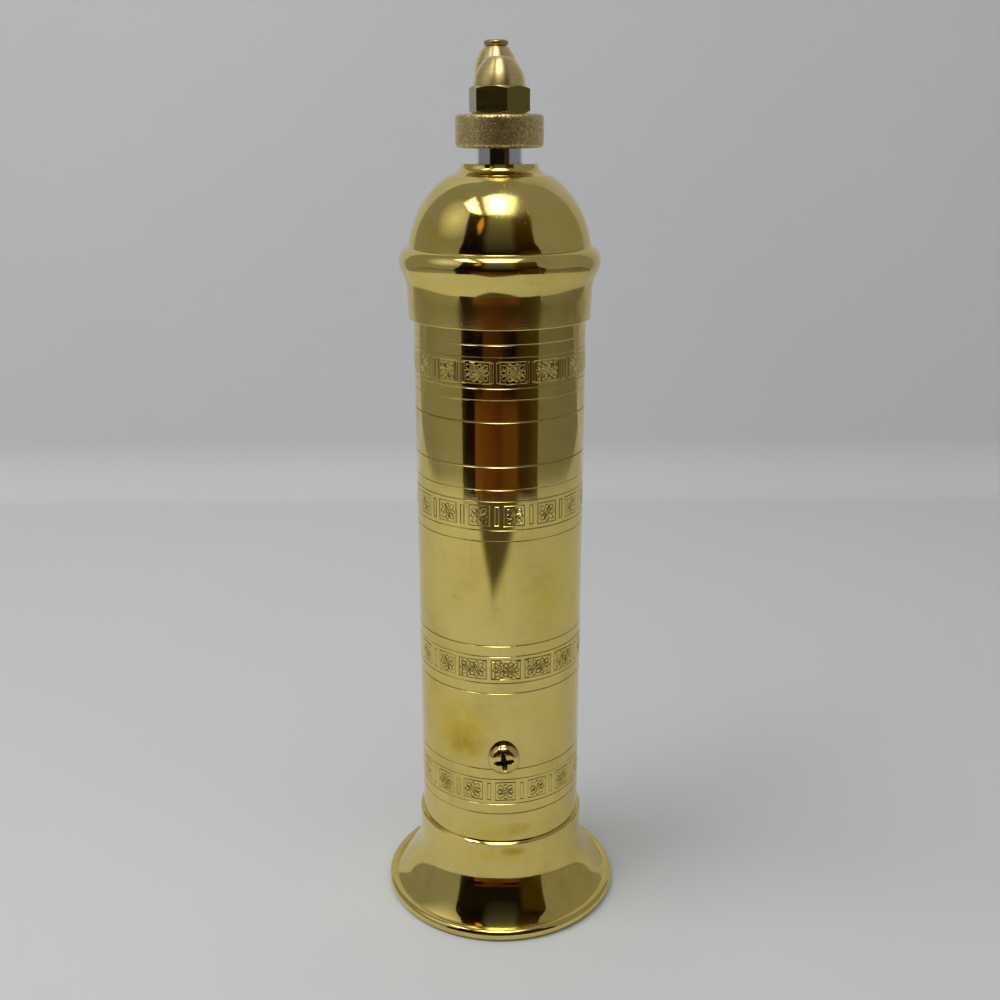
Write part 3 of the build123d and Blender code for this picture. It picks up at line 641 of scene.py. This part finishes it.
def engraved_tube():
    """The tube with its ring grooves and rolled flower bands as real relief."""
    rings = []
    for band in BAND_HEIGHTS:
        rings.extend(ring_rows(band + o, *BAND_RING) for o in RING_OFFSETS)
    rings.extend(ring_rows(line, *PANEL_RING) for line in PANEL_LINES)
    rings.sort(key=lambda rows: rows[0][0])
    flat, depth, faces = [], [], []

    def strip(low, high, low_depth, high_depth):
        faces.extend(grid_faces(2, COLUMNS + 1, len(flat)))
        for z, d in ((low, low_depth), (high, high_depth)):
            flat.extend((u, z) for u in COLUMN_LINES)
            depth.extend(d)

    even = np.zeros(COLUMNS + 1)
    turn = COLUMN_LINES / TUBE_RADIUS
    level = TUBE_BOTTOM
    for number, rows in enumerate(rings):
        press = 0.85 + 0.22 * np.sin(turn + number * 2.1) + 0.1 * np.sin(3 * turn + number * 1.3)
        if BROKEN_RINGS[0] < rows[0][0] < BROKEN_RINGS[1]:
            press *= np.clip(np.abs(turn - GAP_MIDDLE) / GAP_HALF - 0.4, 0, 1)
        band = next((b for b in BAND_HEIGHTS if level < b < rows[0][0]), None)
        if band is not None:
            strip(level, band - BAND_HALF, even, even)
            points, band_depth, triangles = band_surface(band)
            first = len(flat)
            flat.extend(map(tuple, points))
            depth.extend(band_depth)
            faces.extend((triangles + first).tolist())
            level = band + BAND_HALF
        strip(level, rows[0][0], even, even)
        for (z0, d0), (z1, d1) in zip(rows, rows[1:]):
            strip(z0, z1, d0 * press, d1 * press)
        level = rows[-1][0]
    strip(level, TUBE_TOP, even, even)
    flat, depth = np.array(flat), np.array(depth)

    theta = flat[:, 0] / TUBE_RADIUS
    zero = np.zeros(len(theta))
    outward = np.column_stack([np.sin(theta), -np.cos(theta), zero])
    across = np.column_stack([np.cos(theta), np.sin(theta), zero])
    up = np.array([0, 0, 1])
    points = outward * (TUBE_RADIUS - depth)[:, None] + up * flat[:, 1:2]
    normals = []
    unrolled = np.column_stack([flat, -depth])
    for face in faces:
        a, b, c = (unrolled[face[i]] for i in (0, 1, -1))
        n = np.cross(b - a, c - a)
        n /= np.linalg.norm(n)
        normals.extend(n[0] * across[i] + n[1] * up + n[2] * outward[i] for i in face)

    # The bore and the two end rims.
    ring = np.column_stack([np.sin(turn), -np.cos(turn)])
    for (r0, z0), (r1, z1), n_out, n_up in (
        ((TUBE_RADIUS, TUBE_TOP), (TUBE_BORE, TUBE_TOP), 0, 1),
        ((TUBE_BORE, TUBE_TOP), (TUBE_BORE, TUBE_BOTTOM), -1, 0),
        ((TUBE_BORE, TUBE_BOTTOM), (TUBE_RADIUS, TUBE_BOTTOM), 0, -1),
    ):
        faces.extend(grid_faces(2, COLUMNS + 1, len(points)))
        points = np.vstack([points, np.column_stack([r0 * ring, np.full(COLUMNS + 1, z0)]),
                            np.column_stack([r1 * ring, np.full(COLUMNS + 1, z1)])])
        normals.extend(np.array([n_out * ring[i][0], n_out * ring[i][1], n_up])
                       for k in range(COLUMNS) for i in (k, k + 1, k + 1, k))
    groove = np.concatenate([depth / STROKE_DEPTH, np.zeros(len(points) - len(depth))])
    keys, where, back = joined(points)
    kept, kept_normals, corner = [], [], 0
    for face in faces:
        welded = [back[i] for i in face]
        if len(set(welded)) == len(welded):
            kept.append(welded)
            kept_normals.extend(normals[corner : corner + len(face)])
        corner += len(face)
    return mesh_piece("tube_engraved", keys, kept, kept_normals, groove[where])


tube = engraved_tube()
tube.data.materials.append(materials["tube"])
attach(tube, "body")
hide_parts("body_tube")


# ---------- body: flared foot
COLLAR_RADIUS = 22.4
COLLAR_TOP = 23.9
LIP_TILT = 50  # slope of the chamfer on the collar's lip
LIP_LOW = 0.8  # from the collar's top down to the start of the lip
LOW_ROUND, LOW_ROUND_DROP = 0.2, 0.51  # at the chamfer's lower edge: radius, centre below the top
HIGH_ROUND, HIGH_ROUND_IN = 0.15, 0.55  # at its upper edge: radius, centre inwards from the side
FLARE = ((28.5, 4.1), (26.35, 7.1), (24.25, 10.5), (23.3, 12.5), (22.4, 17.5))  # from low to high
FLARE_EDGE = math.radians(48)  # from upright, at the rim
RIM_CENTRE = (30.2, 1.55)
RIM_RADIUS = 1.6
RIM_CREASE = 115.0
INNER_FLARE = ((TUBE_BORE, TUBE_BOTTOM), (21.6, 11.6), (23.1, 9.4), (25.2, 6.1), (27.3, 3.1), (28.7, 1.6))
crease = arc(RIM_CENTRE, RIM_RADIUS, RIM_CREASE, RIM_CREASE, 1)[0]
land_deg = -math.degrees(math.asin(RIM_CENTRE[1] / RIM_RADIUS))
foot_rim = arc(RIM_CENTRE, RIM_RADIUS, land_deg, RIM_CREASE, 40)
foot_land = (RIM_CENTRE[0] * 2 - foot_rim[0][0], 0.0)
foot_runs = [
    *straight(foot_land, foot_rim[0]),
    foot_rim,
    np.vstack([smooth_line([crease, *FLARE], (-math.sin(FLARE_EDGE), math.cos(FLARE_EDGE)), (0, 1)),
               [(COLLAR_RADIUS, COLLAR_TOP - LIP_LOW)],
               arc((COLLAR_RADIUS - LOW_ROUND, COLLAR_TOP - LOW_ROUND_DROP), LOW_ROUND, 0, LIP_TILT, 6),
               arc((COLLAR_RADIUS - HIGH_ROUND_IN, COLLAR_TOP - HIGH_ROUND), HIGH_ROUND, LIP_TILT, 90, 6),
               [(TUBE_RADIUS, COLLAR_TOP)]]),
    *straight((TUBE_RADIUS, COLLAR_TOP), (TUBE_RADIUS, TUBE_BOTTOM), (TUBE_BORE, TUBE_BOTTOM)),
    smooth_line(INNER_FLARE),
    *straight(INNER_FLARE[-1], foot_land),
]
foot = lathe("foot_turned", foot_runs)
foot.data.materials.append(materials["foot"])
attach(foot, "body")
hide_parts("foot")


# ---------- body: side screws
SCREW_AZIMUTHS = (-88.6, 91.4)
SCREW_HEIGHT = 49.2
SCREW_REACH = 15.8
SCREW_RADIUS = 2.0
HEAD_RADIUS = 4.2
HEAD_RIM = 0.7
HEAD_SHOULDER_RADIUS = 2.4
HEAD_HEIGHT = 3.1
HEAD_CROWN = 0.25
HEAD_ROUND = 2.184  # radius of the rounding between the rim and the shoulder
RECESS_DEPTH = 1.9
RECESS_HALF, RECESS_TAPER, RECESS_SLOPE = 0.78, 0.1, 0.3  # an arm's half width and how its walls lean
RECESS_REACH, RECESS_END = 2.55, 0.9  # an arm's length, and the part of it that slopes up
RECESS_TURN = math.radians(7)
HEAD_SEGMENTS = 256


def recess_share(x, y):
    """Depth share of the cross recess at a point of the head's face, with sloping walls and ends."""
    c, s = math.cos(RECESS_TURN), math.sin(RECESS_TURN)
    x, y = c * x + s * y, c * y - s * x
    share = np.zeros_like(x)
    for along, across in ((np.abs(x), np.abs(y)), (np.abs(y), np.abs(x))):
        wall = np.clip((RECESS_HALF - RECESS_TAPER * along - across) / RECESS_SLOPE, 0, 1)
        end = np.clip((RECESS_REACH - along) / RECESS_END, 0, 1)
        share = np.maximum(share, wall * end)
    return share


def screw_profile():
    """The screw's outline as (radius, reach from the tube's axis), from the head's middle to the far end."""
    crown = np.linspace(0, HEAD_SHOULDER_RADIUS, 44)
    crown_reach = TUBE_RADIUS + HEAD_HEIGHT - HEAD_CROWN * (crown / HEAD_SHOULDER_RADIUS) ** 2
    start = math.asin(1 - (HEAD_RADIUS - HEAD_SHOULDER_RADIUS) / HEAD_ROUND)
    turn = np.linspace(start, math.pi / 2, 16)[1:]
    return np.vstack([
        np.column_stack([crown, crown_reach]),
        np.column_stack([HEAD_RADIUS - HEAD_ROUND + HEAD_ROUND * np.sin(turn),
                         TUBE_RADIUS + HEAD_RIM + HEAD_ROUND * np.cos(turn)]),
        [(HEAD_RADIUS, TUBE_RADIUS), (SCREW_RADIUS, TUBE_RADIUS),
         (SCREW_RADIUS, SCREW_REACH), (0, SCREW_REACH)],
    ])


def side_screws():
    points, shares, faces = [], [], []
    turn = np.linspace(0, 2 * math.pi, HEAD_SEGMENTS, endpoint=False)
    profile = screw_profile()
    middle = np.array([0, 0, SCREW_HEIGHT])
    for azimuth in np.radians(SCREW_AZIMUTHS):
        outward = np.array([math.cos(azimuth), math.sin(azimuth), 0])
        across = np.array([-math.sin(azimuth), math.cos(azimuth), 0])
        first = sum(len(p) for p in points)
        for radius, reach in profile:
            x, y = radius * np.cos(turn), radius * np.sin(turn)
            share = recess_share(x, y) if reach > TUBE_RADIUS + HEAD_RIM else np.zeros_like(x)
            out = reach - RECESS_DEPTH * share
            points.append(middle + np.outer(out, outward) + np.outer(x, across) + np.outer(y, [0, 0, 1]))
            shares.append(share)
        faces.extend([a, d, c, b] for a, b, c, d in
                     grid_faces(len(profile), HEAD_SEGMENTS, first, closed=True))
    return weld("side_screws_cut", np.vstack(points), faces, np.concatenate(shares))


screws = side_screws()
screws.data.materials.append(materials["screw"])
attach(screws, "body")
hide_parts("side_screws")


# ---------- body: grind spring
SPRING_RADIUS = 4.3
WIRE_RADIUS = 0.45
SPRING_TURNS = 4
SPRING_LOW, SPRING_HIGH = 24.0, 31.5
STEPS_PER_TURN = 48
WIRE_SIDES = 14


def coil():
    """The wire coil between the grind wheel and the bridge, with a flat cut at each end."""
    turn = np.linspace(0, 2 * math.pi * SPRING_TURNS, SPRING_TURNS * STEPS_PER_TURN + 1)
    side = np.column_stack([np.cos(turn), np.sin(turn), np.zeros_like(turn)])
    pitch = (SPRING_HIGH - SPRING_LOW) / turn[-1]
    along = np.column_stack([-SPRING_RADIUS * side[:, 1], SPRING_RADIUS * side[:, 0],
                             np.full_like(turn, pitch)])
    along /= np.linalg.norm(along, axis=1)[:, None]
    up = np.cross(along, side)
    middle = SPRING_RADIUS * side + np.outer(SPRING_LOW + pitch * turn, [0, 0, 1])
    points = []
    for k in range(len(turn)):
        for a in np.linspace(0, 2 * math.pi, WIRE_SIDES, endpoint=False):
            points.append(middle[k] + WIRE_RADIUS * (math.cos(a) * side[k] + math.sin(a) * up[k]))
    faces = grid_faces(len(turn), WIRE_SIDES, closed=True)
    faces.append(list(range(WIRE_SIDES))[::-1])
    faces.append(list(range(len(points) - WIRE_SIDES, len(points))))
    return weld("adjust_spring_coil", np.array(points), faces, np.zeros(len(points)))


spring = coil()
spring.data.materials.append(materials["spring"])
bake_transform(spring)
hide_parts("adjust_spring")


# ---------- cap
CAP_BOTTOM = 160.6
SKIRT_RADIUS, SKIRT_BORE = 22.6, 21.8
SKIRT_EDGE = 0.28
DOME_CENTRE = 176.0
DOME_RADIUS, DOME_BORE = 22.5, 20.6
DOME_EDGE = 12.6
BEAD = ((22.8, 165.5), (22.98, 168.0), (23.5, 170.4), (24.45, 172.6), (24.83, 174.8), (23.85, 177.1),
        (22.41, 178.0))
NECK = ((DOME_EDGE, DOME_CENTRE + math.sqrt(DOME_RADIUS**2 - DOME_EDGE**2)), (10.7, 195.3), (9.6, 196.3))
NECK_TOP = (9.2, 197.4)
NECK_BORE = 5.7
BUSH_BORE, BUSH_TOP = 7.4, 196.2  # seat of the bush
BOSS_RADIUS, BOSS_BOTTOM = 9.0, 188.0  # boss round the bush
edge_deg = math.degrees(math.acos(DOME_EDGE / DOME_RADIUS))
crease_deg = math.degrees(math.asin((BEAD[-1][1] - DOME_CENTRE) / DOME_RADIUS))
inner_deg = math.degrees(math.acos(BOSS_RADIUS / DOME_BORE))
boss_top = DOME_CENTRE + DOME_BORE * math.sin(math.radians(inner_deg))
cap_runs = [
    *straight((SKIRT_BORE, CAP_BOTTOM), (SKIRT_RADIUS - SKIRT_EDGE, CAP_BOTTOM)),
    np.vstack([arc((SKIRT_RADIUS - SKIRT_EDGE, CAP_BOTTOM + SKIRT_EDGE), SKIRT_EDGE, -90, 0, 6),
               smooth_line(BEAD, (0, 1), (-1, 0.1))]),
    arc((0, DOME_CENTRE), DOME_RADIUS, crease_deg, edge_deg, 60),
    smooth_line(NECK + (NECK_TOP,)),
    *straight(NECK_TOP, (NECK_BORE, NECK_TOP[1]), (NECK_BORE, BUSH_TOP), (BUSH_BORE, BUSH_TOP),
              (BUSH_BORE, BOSS_BOTTOM), (BOSS_RADIUS, BOSS_BOTTOM), (BOSS_RADIUS, boss_top)),
    np.vstack([arc((0, DOME_CENTRE), DOME_BORE, inner_deg, 0, 40), [(DOME_BORE, TUBE_TOP)]]),
    *straight((DOME_BORE, TUBE_TOP), (SKIRT_BORE, TUBE_TOP), (SKIRT_BORE, CAP_BOTTOM)),
]
cap = lathe("cap_turned", cap_runs)
cap.data.materials.append(materials["cap"])
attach(cap, "cap")
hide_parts("cap_dome")


# ---------- crank arm: cast, with soft edges
def cast_copy(source, name, voxel, lump, lumps=8, lump_turns=900):
    """A copy of a CAD node with softened edges and a slightly uneven cast skin."""
    piece = scene_object(name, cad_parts[source].data.copy())
    remesh = piece.modifiers.new("remesh", "REMESH")
    remesh.mode = "VOXEL"
    remesh.voxel_size = voxel * MM
    smooth = piece.modifiers.new("smooth", "SMOOTH")
    smooth.iterations = 4
    smooth.factor = 0.5
    bpy.context.view_layer.update()
    made = bpy.data.meshes.new_from_object(piece.evaluated_get(bpy.context.evaluated_depsgraph_get()))
    piece.modifiers.clear()
    piece.data = made
    work = bmesh.new()
    work.from_mesh(made)
    work.normal_update()
    waves = rng.uniform(-1, 1, (lumps, 3)) * lump_turns
    phases = rng.uniform(0, 6, lumps)
    for v in work.verts:
        lift = sum(math.sin(v.co.dot(Vector(w)) + p) for w, p in zip(waves, phases)) / lumps
        v.co += v.normal * lift * lump * MM
    for f in work.faces:
        f.smooth = True
    work.to_mesh(made)
    work.free()
    return piece


arm = cast_copy("crank_arm", "crank_arm_cast", 0.3, 0.06)
arm.data.materials.clear()
arm.data.materials.append(materials["cast"])
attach(arm, "crank")
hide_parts("crank_arm")


# ---------- stage
SHADE = (0.05, 0.035, 0.012, 1)  # on the paper in front
SHADE_START, SHADE_END = 0.236, 0.268  # metres in front of the axis, at SHADE_X
SHADE_X, SHADE_SLOPE, SHADE_SHARE = -0.048, 0.55, 0.92
PAPER_REACH, PAPER_EDGE = 0.42, 0.02


def stage_sheet(name, lines, material):
    """A smooth sheet between lines of points with as many points each."""
    mesh = bpy.data.meshes.new(name)
    mesh.from_pydata([p for line in lines for p in line], [], grid_faces(len(lines), len(lines[0])))
    mesh.polygons.foreach_set("use_smooth", [True] * len(mesh.polygons))
    mesh.materials.append(material)
    sheet = scene_object(name, mesh)
    return sheet


def matte(name, colour, edge_colour=None):
    """Matte paper. With an edge colour, it ends at its reach from the middle and has a shade in front."""
    material, tree = blank_material(name)
    share = ramp(tree, noise(tree, 3.0, 3.0), 0.3, 0.7)
    tone = mix(tree, share, colour, [c * 0.96 for c in colour[:3]] + [1])
    if edge_colour is not None:
        x, y, _ = axes(tree)
        away = distance(tree, x, maths(tree, "MINIMUM", y, 0.0))
        tone = mix(tree, ramp(tree, away, PAPER_REACH, PAPER_REACH + PAPER_EDGE), tone, edge_colour)
        side = maths(tree, "ABSOLUTE", maths(tree, "SUBTRACT", x, SHADE_X))
        front = maths(tree, "SUBTRACT", times(tree, y, -1.0), times(tree, side, SHADE_SLOPE))
        tone = mix(tree, ramp(tree, front, SHADE_START, SHADE_END, 0.0, SHADE_SHARE), tone, SHADE)
    return shaded(material, {"Base Color": tone, "Roughness": 0.85, "Specular IOR Level": 0.2})


def glow(name, strength_and_colour):
    """A glowing stage material. strength_and_colour gets the tree and returns the strength and the colour."""
    material, tree = blank_material(name)
    strength, colour = strength_and_colour(tree)
    return shaded(material, {"Color": colour, "Strength": strength}, "ShaderNodeEmission")


DIM_ROWS = (  # (height, west edge, east edge) of the dim screen
    (0.0, -51.0, 50.0), (0.22, -51.0, 50.0), (0.29, -47.0, 43.0), (0.38, -47.0, 43.0), (0.50, -50.0, 47.0),
    (0.66, -54.0, 51.0),
)
DIM_RADIUS = 0.40
FLAME_TURN, FLAME_HEIGHT = math.radians(-28), 0.50  # a warm lamp on the dim screen
FLAME_WIDE, FLAME_TALL = 11.0, 7.5  # its reaches in a radian and in a metre
ROOM = 0.27  # glow of the room all round


def dim_look(tree):
    """The dim room behind the camera: warm low down, black at the middle, grey and brown higher up."""
    x, y, height = axes(tree)
    turn = maths(tree, "ARCTAN2", x, times(tree, y, -1.0))
    waver = times(tree, maths(tree, "SUBTRACT", noise(tree, 9.0, 2.0), 0.5), 0.10)
    turn = plus(tree, turn, waver)
    share = ramp(tree, turn, *np.radians(DIM_ROWS[0][1:]).tolist())
    low = colour_bands(tree, share, (
        (0.0, (0.05, 0.035, 0.02)), (0.07, (0.012, 0.006, 0.003)), (0.17, (0.012, 0.006, 0.003)),
        (0.19, (0.17, 0.070, 0.016)), (0.27, (0.14, 0.052, 0.012)), (0.50, (0.085, 0.026, 0.012)),
        (0.56, (0.11, 0.047, 0.012)), (0.70, (0.12, 0.05, 0.014)), (0.75, (0.045, 0.018, 0.006)),
        (0.86, (0.035, 0.024, 0.008)), (1.0, (0.08, 0.058, 0.03)),
    ))
    waist = colour_bands(tree, share, (
        (0.0, (0.03, 0.02, 0.01)), (0.06, (0.008, 0.004, 0.002)), (0.26, (0.008, 0.004, 0.002)),
        (0.285, (0.07, 0.028, 0.008)), (0.52, (0.05, 0.018, 0.008)), (0.55, (0.02, 0.010, 0.006)),
        (0.68, (0.004, 0.003, 0.002)), (0.73, (0.035, 0.022, 0.004)), (1.0, (0.06, 0.05, 0.012)),
    ))
    at_waist = times(tree, ramp(tree, height, 0.056, 0.062), ramp(tree, height, 0.106, 0.100))
    low = mix(tree, at_waist, low, waist)
    body = mix(tree, ramp(tree, turn, math.radians(20), math.radians(26)), (0.009, 0.007, 0.004, 1),
               (0.05, 0.03, 0.004, 1))
    high = colour_bands(tree, share, (
        (0.0, (0.02, 0.012, 0.006)), (0.14, (0.016, 0.009, 0.005)), (0.28, (0.02, 0.014, 0.008)),
        (0.36, (0.13, 0.13, 0.125)), (0.64, (0.14, 0.14, 0.13)), (0.71, (0.06, 0.036, 0.006)),
        (1.0, (0.06, 0.034, 0.004)),
    ))
    grain = ramp(tree, noise(tree, 90.0, 4.0, roughness=0.7), 0.3, 0.7, 0.6, 1.4)
    rise = times(tree, ramp(tree, height, 0.24, 0.60, 0.25, 1.5), grain)
    high = node(tree, "ShaderNodeVectorMath", {0: high, "Scale": rise}, operation="SCALE").outputs[0]
    flame = distance(tree, times(tree, maths(tree, "SUBTRACT", turn, FLAME_TURN), FLAME_WIDE),
                     times(tree, maths(tree, "SUBTRACT", height, FLAME_HEIGHT), FLAME_TALL))
    high = mix(tree, ramp(tree, flame, 1.0, 0.45), high, (0.75, 0.38, 0.05, 1))
    high = mix(tree, ramp(tree, height, 0.215, 0.24), body, high)
    return 1.0, mix(tree, ramp(tree, height, 0.125, 0.104), high, low)


def panel_look(half_x, half_y, full, level, rounded=False, core=0.0, core_x=0.0, core_reach=0.1):
    """Looks of a flat light with soft edges. It has its level up to a full share of its half sizes, and
    if asked a brighter core at core_x."""
    def look(tree):
        x, y, _ = axes(tree)
        across = times(tree, maths(tree, "ABSOLUTE", x), 1 / half_x)
        along = times(tree, maths(tree, "ABSOLUTE", y), 1 / half_y)
        away = distance(tree, across, along) if rounded else maths(tree, "MAXIMUM", across, along)
        strength = ramp(tree, away, 1.0, full, ROOM, level)
        if core:
            away = maths(tree, "ABSOLUTE", maths(tree, "SUBTRACT", x, core_x))
            extra = ramp(tree, away, core_reach, 0.3 * core_reach, 0.0, core)
            strength = plus(tree, strength, times(tree, strength, extra))
        patch = noise(tree, 5.0, 2.0)
        return strength, mix(tree, patch, (1.0, 1.0, 1.0, 1), (0.97, 0.98, 1.0, 1))
    return look


def only_in_reflections(sheet):
    """Hides a stage sheet from everything but the polished surfaces."""
    sheet.visible_camera = False
    sheet.visible_diffuse = False
    sheet.visible_shadow = False


def panel(name, centre, half, **look):
    """A light that only polished surfaces see, lying flat at a height."""
    x, y = half
    sheet = stage_sheet(name, [[(-x, -y, 0), (x, -y, 0)], [(-x, y, 0), (x, y, 0)]],
                        glow("stage_" + name, panel_look(x, y, **look)))
    sheet.location = centre
    only_in_reflections(sheet)
    return sheet


def aim(made, azimuth, elevation, distance, height):
    """Puts an object at this distance from a point of the mill's axis, facing it."""
    a, e = math.radians(azimuth), math.radians(elevation)
    back = Vector((math.sin(a) * math.cos(e), -math.cos(a) * math.cos(e), math.sin(e)))
    made.location = Vector((0, 0, height)) + back * distance
    made.rotation_mode = "QUATERNION"
    made.rotation_quaternion = back.to_track_quat("Z", "Y")


FLOOR_END = 0.385
COVE = 0.03
SEEN_HALF = 3.0
REFLECTED_WEST, REFLECTED_EAST = -0.42, 0.50
WALL_TOP = 1.6
SEEN_DROP = 0.0001  # keeps the seen backdrop just behind the reflected one
CEILING = 1.39
paper = matte("stage_floor", (0.695, 0.705, 0.70, 1))
wall_paper = matte("stage_wall", (0.71, 0.71, 0.72, 1))
room_wall = matte("stage_room_wall", (0.76, 0.76, 0.775, 1))
room_floor = matte("stage_room_floor", (0.71, 0.72, 0.715, 1), (0.33, 0.33, 0.33, 1))


def backdrop(name, west, east, floor_look, wall_look, drop=0.0):
    """A floor with a wall that rises from it in a bend, between two X positions of the wall. drop moves both
    outwards, so that one backdrop can lie just behind another."""
    end = FLOOR_END - COVE + drop
    ground = stage_sheet(name + "_floor", [[(x, y, -drop) for x in (-SEEN_HALF, SEEN_HALF)]
                                           for y in (-SEEN_HALF, end)], floor_look)
    bend = [(end + COVE * math.sin(t), COVE - COVE * math.cos(t) - drop)
            for t in np.linspace(0, math.pi / 2, 13)]
    rise = bend + [(FLOOR_END + drop, WALL_TOP)]
    wall = stage_sheet(name + "_wall", [[(x, y, z) for y, z in rise] for x in (west, east)], wall_look)
    return ground, wall


for sheet in backdrop("seen", -SEEN_HALF, SEEN_HALF, paper, wall_paper, SEEN_DROP):
    sheet.visible_glossy = False
for sheet in backdrop("reflected", REFLECTED_WEST, REFLECTED_EAST, room_floor, room_wall):
    only_in_reflections(sheet)
only_in_reflections(stage_sheet(
    "dim_side",
    [[(DIM_RADIUS * math.sin(a), -DIM_RADIUS * math.cos(a), z)
      for a in np.radians(np.linspace(west, east, 41))] for z, west, east in DIM_ROWS],
    glow("stage_dim_side", dim_look),
))
panel("ceiling_light", (0.0, -0.56, CEILING), (0.41, 0.36), full=0.6, level=3.6,
      core=1.2, core_x=-0.06, core_reach=0.26)
panel("ceiling_left", (-0.69, -0.50, CEILING), (0.19, 0.40), full=0.5, level=4.5)
window = panel("window_glow", (0, 0, 0), (0.75, 0.62), full=0.1, level=0.85, rounded=True)
aim(window, azimuth=-72, elevation=38, distance=1.5, height=0.18)

world = bpy.data.worlds.new("world")
scene.world = world
world.use_nodes = True
world.node_tree.nodes["Background"].inputs["Color"].default_value = (ROOM, ROOM, ROOM * 1.03, 1)
world.node_tree.nodes["Background"].inputs["Strength"].default_value = 1.0

# Soft square lights that reflections don't show: (name, azimuth, elevation, distance, size, power).
for name, azimuth, elevation, away, size, power in (
    ("key", -72, 52, 1.5, 0.9, 7.4),
    ("near", -30, 58, 0.62, 0.45, 0.95),
    ("fill", 40, 55, 1.8, 1.2, 3.3),
):
    light = scene_object(name, bpy.data.lights.new(name, "AREA"))
    light.data.shape = "RECTANGLE"
    light.data.size = light.data.size_y = size
    light.data.energy = power
    light.visible_glossy = False
    aim(light, azimuth, elevation, away, height=0.1)
